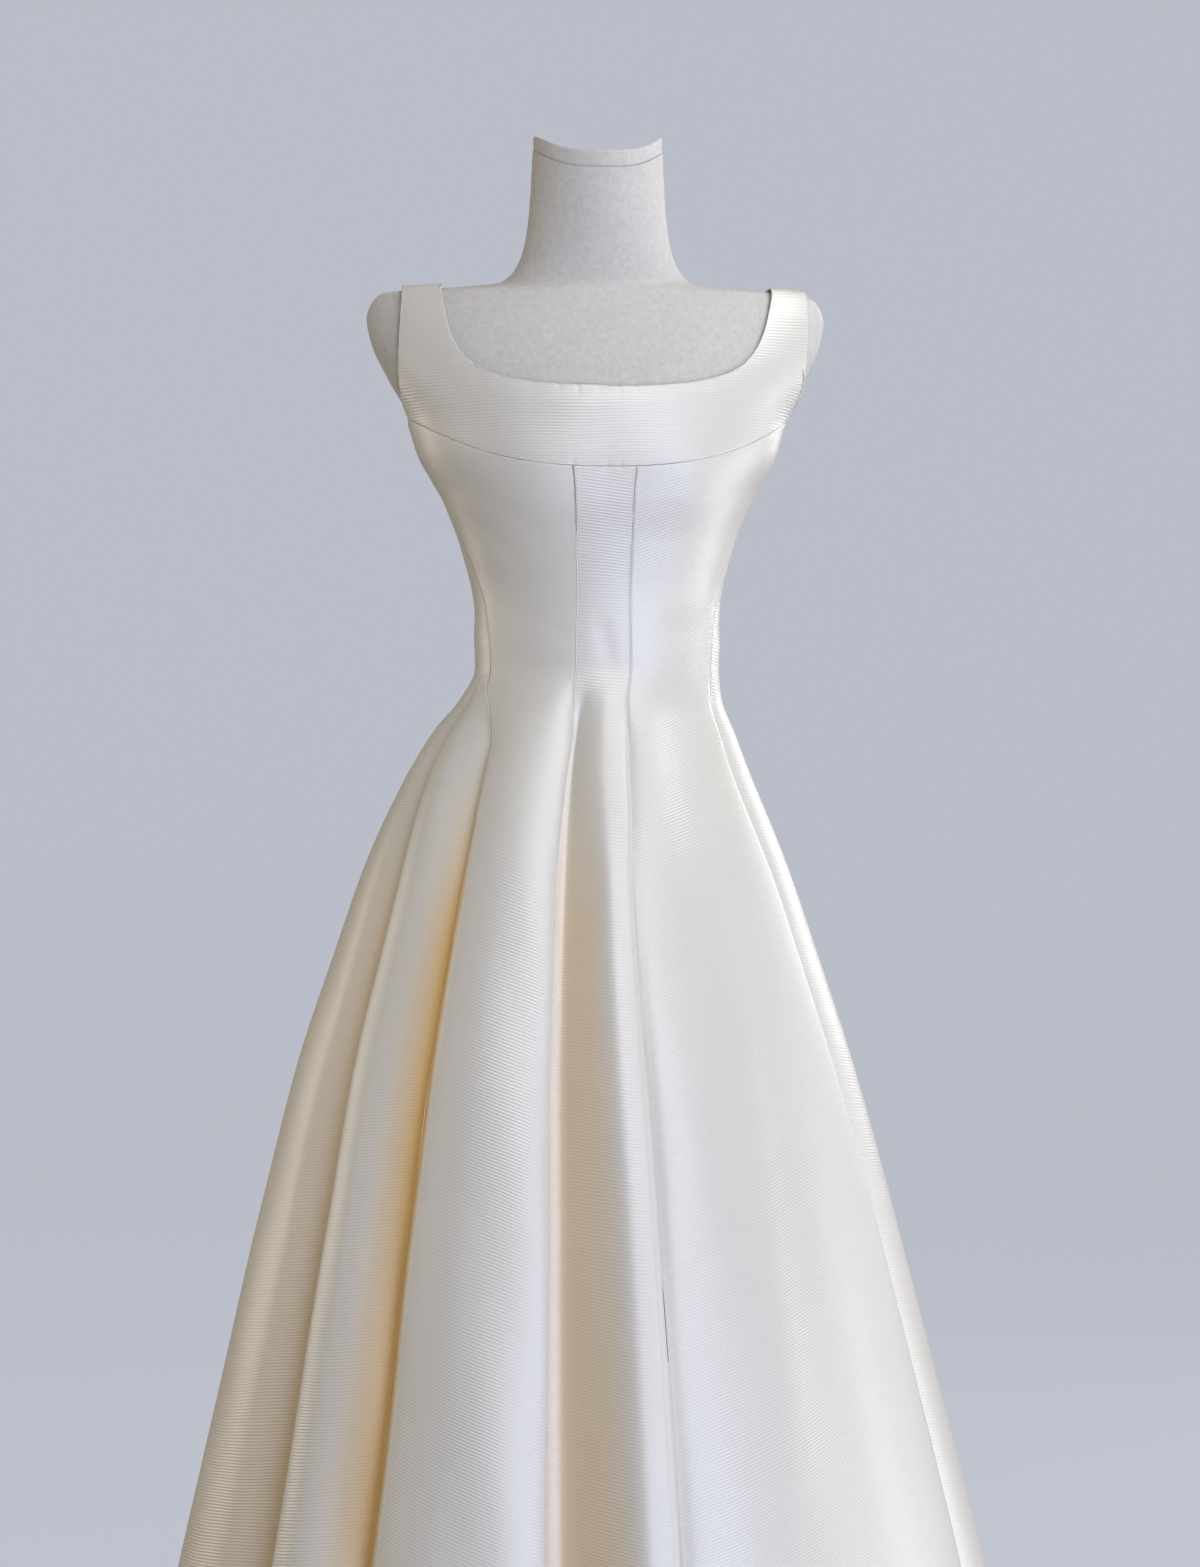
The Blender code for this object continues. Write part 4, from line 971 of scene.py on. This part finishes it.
def length_setting(name, description, default, least):
    return FloatProperty(name=name, description=description, default=default, min=least, unit="LENGTH",
                         precision=5)


def power_setting(name, description, default):
    return FloatProperty(name=name, description=description, default=default, min=0.0, unit="POWER")


def strength_setting(name, description, default):
    return FloatProperty(name=name, description=description, default=default, min=0.0)


class DRESS_PG_sizes(bpy.types.PropertyGroup):
    seam_gap: length_setting("Seam gap", "Between two pieces that are sewn together", 0.0003, 0.0001)
    seam_depth: length_setting("Seam depth", "How far the face sinks beside a seam", 0.00022, 0.0)
    seam_roll: length_setting("Seam roll", "Width over which the face rolls into a seam", 0.0009, 0.0005)
    seam_lip: length_setting("Seam lip", "How far a pressed edge stands proud of its seam", 0.0003, 0.0)
    satin_thick: length_setting("Satin", "Thickness of the satin's own wall", 0.0009, 0.0003)
    base_radius: FloatProperty(name="Base radius", description="Half the base plate's width",
                               default=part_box("base")[1][0], min=0.1, unit="LENGTH")
    base_height: FloatProperty(name="Base height", description="Height of the base plate's crown",
                               default=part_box("base")[1][2], min=0.005, unit="LENGTH")


class DRESS_PG_finish(bpy.types.PropertyGroup):
    satin_light: colour_setting("Satin", "Ivory satin at its palest", "#DDD9D0")
    satin_shade: colour_setting("Satin tone", "Ivory satin at its warmest", "#D7D2C6")
    # Painted fold light: a warm colour mixed into the satin deep in its folds and shone from there as a
    # glow
    satin_painted_fold: colour_setting("Satin fold", "Warm light deep in a fold", "#DCB05E")
    painted_fold_glow: strength_setting("Fold glow", "Light that passes through a fold's cloth", 0.05)
    canvas_light: colour_setting("Canvas", "The form's canvas cover", "#CECBC6")
    canvas_shade: colour_setting("Canvas mottle", "Darker patches of the canvas", "#C4C0B9")
    cap_light: colour_setting("Neck cap", "The neck cap's cover", "#CFCCC7")
    steel: colour_setting("Steel", "The pole and the base", "#B9B9BB")


class DRESS_PG_stage(bpy.types.PropertyGroup):
    backdrop: colour_setting("Backdrop", "Paper behind and below the dress", "#C6CAD5")
    backdrop_paint: colour_setting("Backdrop paint", "How much the paper takes light", "#5A5D63")
    backdrop_glow: strength_setting("Backdrop light", "Even light on the paper", 0.82)
    room: colour_setting("Room light", "Colour of the light from all round", "#F1E9E0")
    room_power: strength_setting("Room power", "Strength of the light from all round", 0.26)
    key_power: power_setting("Key light", "Strength of the light from the right", 19.5)
    fill_power: power_setting("Fill light", "Strength of the light from the front", 80.0)
    high_power: power_setting("High light", "Strength of the light from above the front", 33.0)
    left_power: power_setting("Left light", "Strength of the warm light from the left", 8.5)
    turn: FloatProperty(name="Camera turn", description="How far the camera stands to the left",
                        default=math.radians(-5.0), subtype="ANGLE")
    distance: FloatProperty(name="Camera distance", description="From the pole to the camera",
                            default=3.8, min=1.0, unit="LENGTH")
    pixels: IntProperty(name="Scale", description="Picture rows for each metre at the pole", default=1050)
    shoulder_row: IntProperty(name="Shoulder row", description="Picture row of the shoulder line",
                              default=285, subtype="PIXEL")


# One operator for each piece or group of like pieces

class DRESS_OT_add_yoke(bpy.types.Operator):
    """Lay the front yoke, cut in one with both front straps"""
    bl_idname = "dress.add_yoke"
    bl_label = "Front yoke"

    def execute(self, context):
        sizes = context.scene.dress_sizes
        points, ways = yoke_grid(seam_dips(sizes))
        for side in ("first row", "last row", "first column", "last column"):
            profile = FACED_TURN if side == "first row" else SEAM_TURN
            points, ways = turned(points, ways, profile, side)
        # Rows run down from the neckline, so they are laid the other way up
        points = points[::-1]
        yoke = lay_grid("front_yoke_satin", points)
        map_cloth(yoke, points[..., 0], points[..., 2], np.zeros(points.shape[:2]))
        yoke = finish_cloth([yoke], "front_yoke_satin", woven_satin(context.scene.dress_finish),
                            sizes.satin_thick)
        declare(yoke, "front_yoke")
        return {"FINISHED"}


# Panels: the solid, its first and last seam, how many columns, whether it meets the yoke, its flat
# width, length and area in metres, and how far its ribs slope
Panel = namedtuple("Panel", "node first last columns yoke flat area slope")
PANELS = [
    Panel("centre_front", "left centre front", "right centre front", 84, True, (0.17, 1.28), 0.136, 0.12),
    Panel("front_left", "left side front", "left centre front", 130, True, (0.27, 1.33), 0.194, 0.34),
    Panel("front_right", "right centre front", "right side front", 170, True, (0.42, 1.33), 0.304, -0.34),
    Panel("side_left", "left side back", "left side front", 230, False, (0.80, 1.36), 0.548, -0.10),
    Panel("side_right", "right side front", "right side back", 190, False, (0.60, 1.36), 0.412, 0.10),
]
BACKS = [
    Panel("back_right", "right side back", "centre back", 150, False, (0.48, 1.50), 0.355, 0.10),
    Panel("back_left", "centre back", "left side back", 160, False, (0.50, 1.50), 0.371, -0.10),
]


class DRESS_OT_add_panels(bpy.types.Operator):
    """Lay the centre front, front and side panels from hem to top"""
    bl_idname = "dress.add_panels"
    bl_label = "Front and side panels"

    def execute(self, context):
        sizes = context.scene.dress_sizes
        material = woven_satin(context.scene.dress_finish)
        for panel in PANELS:
            name = panel.node + "_satin"
            _, points, ways, glow = panel_grid(panel, seam_dips(sizes))
            top = SEAM_TURN if panel.yoke else FACED_TURN
            points, ways, glow = hem_and_seam_turns(points, ways, glow, top)
            thing = lay_grid(name, points)
            across = lengths(points, 1)
            map_cloth(thing, across, points[..., 2] + across * panel.slope, glow)
            thing = finish_cloth([thing], name, material, sizes.satin_thick)
            declare(thing, panel.node)
        return {"FINISHED"}


class DRESS_OT_add_backs(bpy.types.Operator):
    """Lay each half back, cut in one with its strap"""
    bl_idname = "dress.add_backs"
    bl_label = "Backs"

    def execute(self, context):
        sizes = context.scene.dress_sizes
        material = woven_satin(context.scene.dress_finish)
        for panel, hand in zip(BACKS, (1, -1)):
            name = panel.node + "_satin"
            u, points, _, glow = panel_grid(panel, seam_dips(sizes))
            top, top_ways = back_top_grid(u, hand, seam_dips(sizes))
            if hand < 0:
                top, top_ways = top[:, ::-1], top_ways[:, ::-1]
            lay = slice(STRAP_RUNGS, None) if hand > 0 else slice(None, -STRAP_RUNGS)
            top[-1, lay] = points[-1]
            top, top_ways = turned(top, top_ways, FACED_TURN, "first row")
            pieces = []
            # Each patch with its painted fold warmth, none on the strap and upper back
            for patch, patch_painted_warmth in ((top[::-1], np.zeros(top.shape[:2])), (points, glow)):
                thing = lay_grid(name, patch)
                across = lengths(patch, 1)
                map_cloth(thing, across, patch[..., 2] + across * panel.slope, patch_painted_warmth)
                pieces.append(thing)
            thing = finish_cloth(pieces, name, material, sizes.satin_thick)
            declare(thing, panel.node)
        return {"FINISHED"}


def dished(points, share):
    """Points of the neck's top, which is low along the middle and rises to both sides."""
    points = points.copy()
    aside = np.clip(np.abs(points[..., 0]) / FIGURE[-1].half_width, 0.0, 1.0)
    points[..., 2] += (NECK_LIFT + DISH_RISE * aside ** DISH_POWER) * share
    return points


def close_round(thing, material):
    """Merges the grid where it comes round, and where a row shrinks to a point."""
    merge_close(FORM_MERGE, face_out=True)
    bpy.ops.object.shade_smooth_by_angle(angle=SOFT_ANGLE)
    cover(thing, material)


def stand_in(thing, node):
    """Sets a hard piece in the frame in place of its solid."""
    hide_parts(node)
    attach(thing, "root")


def drawn_in(ring, share, rise):
    """A ring of points drawn in towards its middle."""
    middle = ring.mean(axis=0)
    ring = middle + (ring - middle) * share
    ring[..., 2] += rise
    return ring


class DRESS_OT_add_form(bpy.types.Operator):
    """Shape the limbless form under the dress, and the dished cap on its neck"""
    bl_idname = "dress.add_form"
    bl_label = "Form"

    def execute(self, context):
        finish = context.scene.dress_finish
        angle = np.linspace(-math.pi, math.pi, FORM_COLUMNS + 1)
        top = tape_at(NECK_TOP)
        rings = []
        for tape in np.linspace(0.0, top, FORM_ROWS):
            ring = skin(angle, np.full(FORM_COLUMNS + 1, tape))
            rings.append(dished(ring, blend(NECK_FROM, NECK_TOP, ring[0, 2])))
        rings = [drawn_in(rings[0], share, 0.0) for share in (0.0, 0.5, 0.98)] + rings
        flat = skin(angle, np.full(FORM_COLUMNS + 1, top))
        lid = [dished(drawn_in(flat, share, -0.0002), 1.0) for share in (0.985, 0.9, 0.75, 0.5, 0.25, 0.0)]
        form = lay_grid("form_body_canvas", np.array(rings + lid))
        close_round(form, woven_canvas(finish, "cotton_canvas_stretched", finish.canvas_light))
        stand_in(form, "form_body")

        spread = (0.0, 0.25, 0.5, 0.75, 0.9, 0.96)
        steps = [(share, 0.0003) for share in spread]
        steps += [(0.978, 0.0005), (0.986, 0.0012), (0.990, 0.0030), (0.990, 0.0060), (0.988, 0.0125),
                  (0.986, CAP_THICK - 0.0012), (0.980, CAP_THICK - 0.0002)]
        steps += [(share, CAP_THICK) for share in reversed(spread)]
        rows = [dished(drawn_in(flat, share, rise), 1.0) for share, rise in steps]
        cap = lay_grid("neck_cap_canvas", np.array(rows))
        close_round(cap, woven_canvas(finish, "cotton_canvas_cap", finish.cap_light))
        stand_in(cap, "neck_cap")
        return {"FINISHED"}


def add_cylinder(name, radius, low, high):
    """A round bar between two heights on the pole's axis, left in edit mode."""
    bpy.ops.object.select_all(action="DESELECT")
    bpy.ops.mesh.primitive_cylinder_add(vertices=ROUND_SIDES, radius=radius, depth=high - low,
                                        location=(0.0, 0.0, (low + high) / 2))
    thing = bpy.context.object
    thing.name = thing.data.name = name
    bpy.ops.object.transform_apply(location=True)
    bpy.ops.object.mode_set(mode="EDIT")
    bpy.ops.mesh.select_all(action="DESELECT")
    return thing


def select_facing_up(thing, low):
    """Selects the faces above a height that look straight up."""
    bpy.ops.mesh.select_mode(type="FACE")
    bm = bmesh.from_edit_mesh(thing.data)
    for face in bm.faces:
        face.select_set(face.normal.z > 0.9 and face.calc_center_median().z > low)
    bmesh.update_edit_mesh(thing.data)


def finish_turned(thing, material, bevel):
    """Softens the hard edges of a turned piece and gives it a material."""
    bpy.ops.object.mode_set(mode="OBJECT")
    edge = thing.modifiers.new("soft edge", "BEVEL")
    edge.width = bevel
    edge.segments = 3
    edge.limit_method = "ANGLE"
    edge.angle_limit = BEVEL_ANGLE
    bpy.ops.object.modifier_apply(modifier=edge.name)
    bpy.ops.object.shade_smooth_by_angle(angle=SOFT_ANGLE)
    cover(thing, material)


class DRESS_OT_add_stand(bpy.types.Operator):
    """Turn the round base, and the pole with the flange that carries the form"""
    bl_idname = "dress.add_stand"
    bl_label = "Stand"

    def execute(self, context):
        sizes = context.scene.dress_sizes
        steel = brushed_steel(context.scene.dress_finish)
        side, slope, crown = (sizes.base_height * share for share in BASE_STEPS)
        base = add_cylinder("base_steel", sizes.base_radius, 0.0, side)
        select_facing_up(base, side / 2)
        bpy.ops.mesh.inset(thickness=BASE_RIM)
        bpy.ops.transform.translate(value=(0.0, 0.0, slope))
        bpy.ops.mesh.inset(thickness=sizes.base_radius - BASE_RIM - BASE_CROWN)
        bpy.ops.transform.translate(value=(0.0, 0.0, crown))
        finish_turned(base, steel, BASE_BEVEL)
        stand_in(base, "base")

        low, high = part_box("pole")[0][2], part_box("pole")[1][2]
        pole = add_cylinder("pole_steel", POLE_RADIUS, low, high - FLANGE_THICK - FLANGE_CONE)
        select_facing_up(pole, (low + high) / 2)
        bpy.ops.mesh.extrude_region_move(TRANSFORM_OT_translate={"value": (0.0, 0.0, FLANGE_CONE)})
        grow = FLANGE_RADIUS / POLE_RADIUS
        bpy.ops.transform.resize(value=(grow, grow, 1.0))
        bpy.ops.mesh.extrude_region_move(TRANSFORM_OT_translate={"value": (0.0, 0.0, FLANGE_THICK)})
        finish_turned(pole, steel, POLE_BEVEL)
        stand_in(pole, "pole")
        return {"FINISHED"}


def aim(thing, place, target):
    """Puts a light at a place and turns it to a target."""
    thing.location = place
    away = np.array(target) - np.array(place)
    turn = math.atan2(-away[0], away[1])
    tilt = math.atan2(away[2], math.hypot(away[0], away[1])) + math.pi / 2
    thing.rotation_euler = (tilt, 0.0, turn)


def around(azimuth, elevation, distance, height):
    """A place round the dress. Azimuth 0 is in front, and 90 at its +X side."""
    turn, tilt = math.radians(azimuth), math.radians(elevation)
    return (math.sin(turn) * math.cos(tilt) * distance, -math.cos(turn) * math.cos(tilt) * distance,
            height + math.sin(tilt) * distance)


# Soft lights: degrees round the dress and up, distance, the height it stands over and the one it
# faces, its width and height, the setting that powers it, its share of that, and its colour
Softbox = namedtuple("Softbox", "name azimuth elevation distance over faces width tall power share colour")
SOFTBOXES = [
    Softbox("key light", 92.0, -16.0, 3.0, 1.2, 1.2, 1.5, 1.4, "key_power", 1.0, "#FBFCFF"),
    Softbox("side light", 130.0, 24.0, 3.2, 0.5, 0.5, 1.2, 1.6, "key_power", 1.2, "#FBFCFF"),
    Softbox("shoulder light", 70.0, 50.0, 1.6, 1.4, 1.4, 0.8, 0.8, "key_power", 0.55, "#FFFFFF"),
    Softbox("high light", 11.0, 40.0, 3.6, 0.8, 1.0, 1.9, 1.4, "high_power", 1.0, "#F4F8FF"),
    Softbox("front light", 24.0, -11.0, 4.2, 1.15, 1.15, 3.2, 2.0, "fill_power", 1.0, "#C8D6FF"),
    Softbox("left light", -78.0, 22.0, 3.6, 0.3, 0.3, 2.0, 2.0, "left_power", 1.0, "#FFF3E2"),
    Softbox("level light", 20.0, 12.0, 4.0, 1.0, 1.0, 2.0, 1.2, "high_power", 0.4, "#FFFFFF"),
    Softbox("low light", 62.0, -20.0, 3.6, 1.2, 1.2, 1.4, 1.2, "key_power", 0.5, "#FBFCFF"),
    Softbox("edge light", -118.0, 14.0, 3.2, 0.4, 0.4, 1.2, 1.8, "left_power", 1.8, "#FFF3E2"),
]


def add_softbox(box, stage):
    """A soft studio light, which the camera doesn't see."""
    bpy.ops.object.light_add(type="AREA")
    light = bpy.context.object
    light.name = light.data.name = box.name
    light.data.shape = "RECTANGLE"
    light.data.size = box.width
    light.data.size_y = box.tall
    light.data.energy = getattr(stage, box.power) * box.share
    light.data.color = linear(box.colour)
    light.visible_camera = False
    aim(light, around(box.azimuth, box.elevation, box.distance, box.over), (0.0, 0.0, box.faces))


class DRESS_OT_set_stage(bpy.types.Operator):
    """Set the paper backdrop, the soft lights and the camera"""
    bl_idname = "dress.set_stage"
    bl_label = "Stage"

    def execute(self, context):
        scene = context.scene
        stage = scene.dress_stage
        self.add_backdrop(stage)
        for box in SOFTBOXES:
            add_softbox(box, stage)
        world = scene.world or bpy.data.worlds.new("room")
        scene.world = world
        world.use_nodes = True
        sky = world.node_tree.nodes["Background"]
        sky.inputs["Color"].default_value = (*stage.room, 1.0)
        sky.inputs["Strength"].default_value = stage.room_power
        scene.view_settings.view_transform = "Standard"
        scene.view_settings.look = "None"
        self.add_camera(scene, stage)
        return {"FINISHED"}

    def add_backdrop(self, stage):
        """Seamless paper: a floor that curves up all round, well outside the other views."""
        radius, curve, top = 11.0, 3.0, 12.0
        arc = np.linspace(0.0, math.pi / 2, 24)
        profile = [(0.0, 0.0), (2.0, 0.0), (radius - curve, 0.0)]
        profile += [(radius - curve + curve * math.sin(a), curve - curve * math.cos(a)) for a in arc[1:]]
        profile += [(radius, top)]
        angle = np.linspace(-math.pi, math.pi, 97)
        rows = [np.stack((np.sin(angle) * r, -np.cos(angle) * r, 0 * angle + z), axis=-1)
                for r, z in profile]
        paper = lay_grid("backdrop_paper", np.array(rows)[::-1])
        merge_close(PAPER_MERGE)
        bpy.ops.object.shade_smooth()
        paper.data.materials.append(seamless_paper(stage))
        paper.visible_diffuse = False
        paper.visible_glossy = False
        paper.visible_shadow = False

    def add_camera(self, scene, stage):
        """A level camera that sees the picture's height at the pole from its middle row."""
        bpy.ops.object.camera_add()
        camera = bpy.context.object
        camera.name = camera.data.name = "camera"
        tall, wide = 1567, 1200
        sensor = 36.0
        shoulder = 1.455
        height = shoulder - (tall / 2 - stage.shoulder_row) / stage.pixels
        right = (math.cos(stage.turn), math.sin(stage.turn))
        shift = 0.003
        camera.location = (math.sin(stage.turn) * stage.distance + right[0] * shift,
                           -math.cos(stage.turn) * stage.distance + right[1] * shift, height)
        camera.rotation_euler = (math.radians(90.0), 0.0, stage.turn)
        camera.data.sensor_width = sensor
        camera.data.lens = sensor * stage.distance / (max(tall, wide) / stage.pixels)
        scene.camera = camera


class DRESS_PT_panel(bpy.types.Panel):
    """The pieces of the dress, in the order they are made"""
    bl_label = "Dress"
    bl_idname = "DRESS_PT_panel"
    bl_space_type = "VIEW_3D"
    bl_region_type = "UI"
    bl_category = "Dress"

    def draw(self, context):
        for operator in OPERATORS:
            self.layout.operator(operator.bl_idname)
        for name in ("dress_sizes", "dress_finish", "dress_stage"):
            group = getattr(context.scene, name)
            for key in group.__annotations__:
                self.layout.prop(group, key)


GROUPS = {"dress_sizes": DRESS_PG_sizes, "dress_finish": DRESS_PG_finish, "dress_stage": DRESS_PG_stage}
OPERATORS = (DRESS_OT_add_yoke, DRESS_OT_add_panels, DRESS_OT_add_backs, DRESS_OT_add_form,
             DRESS_OT_add_stand, DRESS_OT_set_stage)


def register():
    for group in (*GROUPS.values(), *OPERATORS, DRESS_PT_panel):
        bpy.utils.register_class(group)
    for name, group in GROUPS.items():
        setattr(bpy.types.Scene, name, PointerProperty(type=group))


def unregister():
    for name in GROUPS:
        delattr(bpy.types.Scene, name)
    for group in (DRESS_PT_panel, *reversed(OPERATORS), *GROUPS.values()):
        bpy.utils.unregister_class(group)


def main():
    register()
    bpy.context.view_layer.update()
    bpy.ops.dress.add_form()
    bpy.ops.dress.add_stand()
    bpy.ops.dress.add_yoke()
    bpy.ops.dress.add_panels()
    bpy.ops.dress.add_backs()
    bpy.ops.dress.set_stage()


if __name__ == "__main__":
    main()
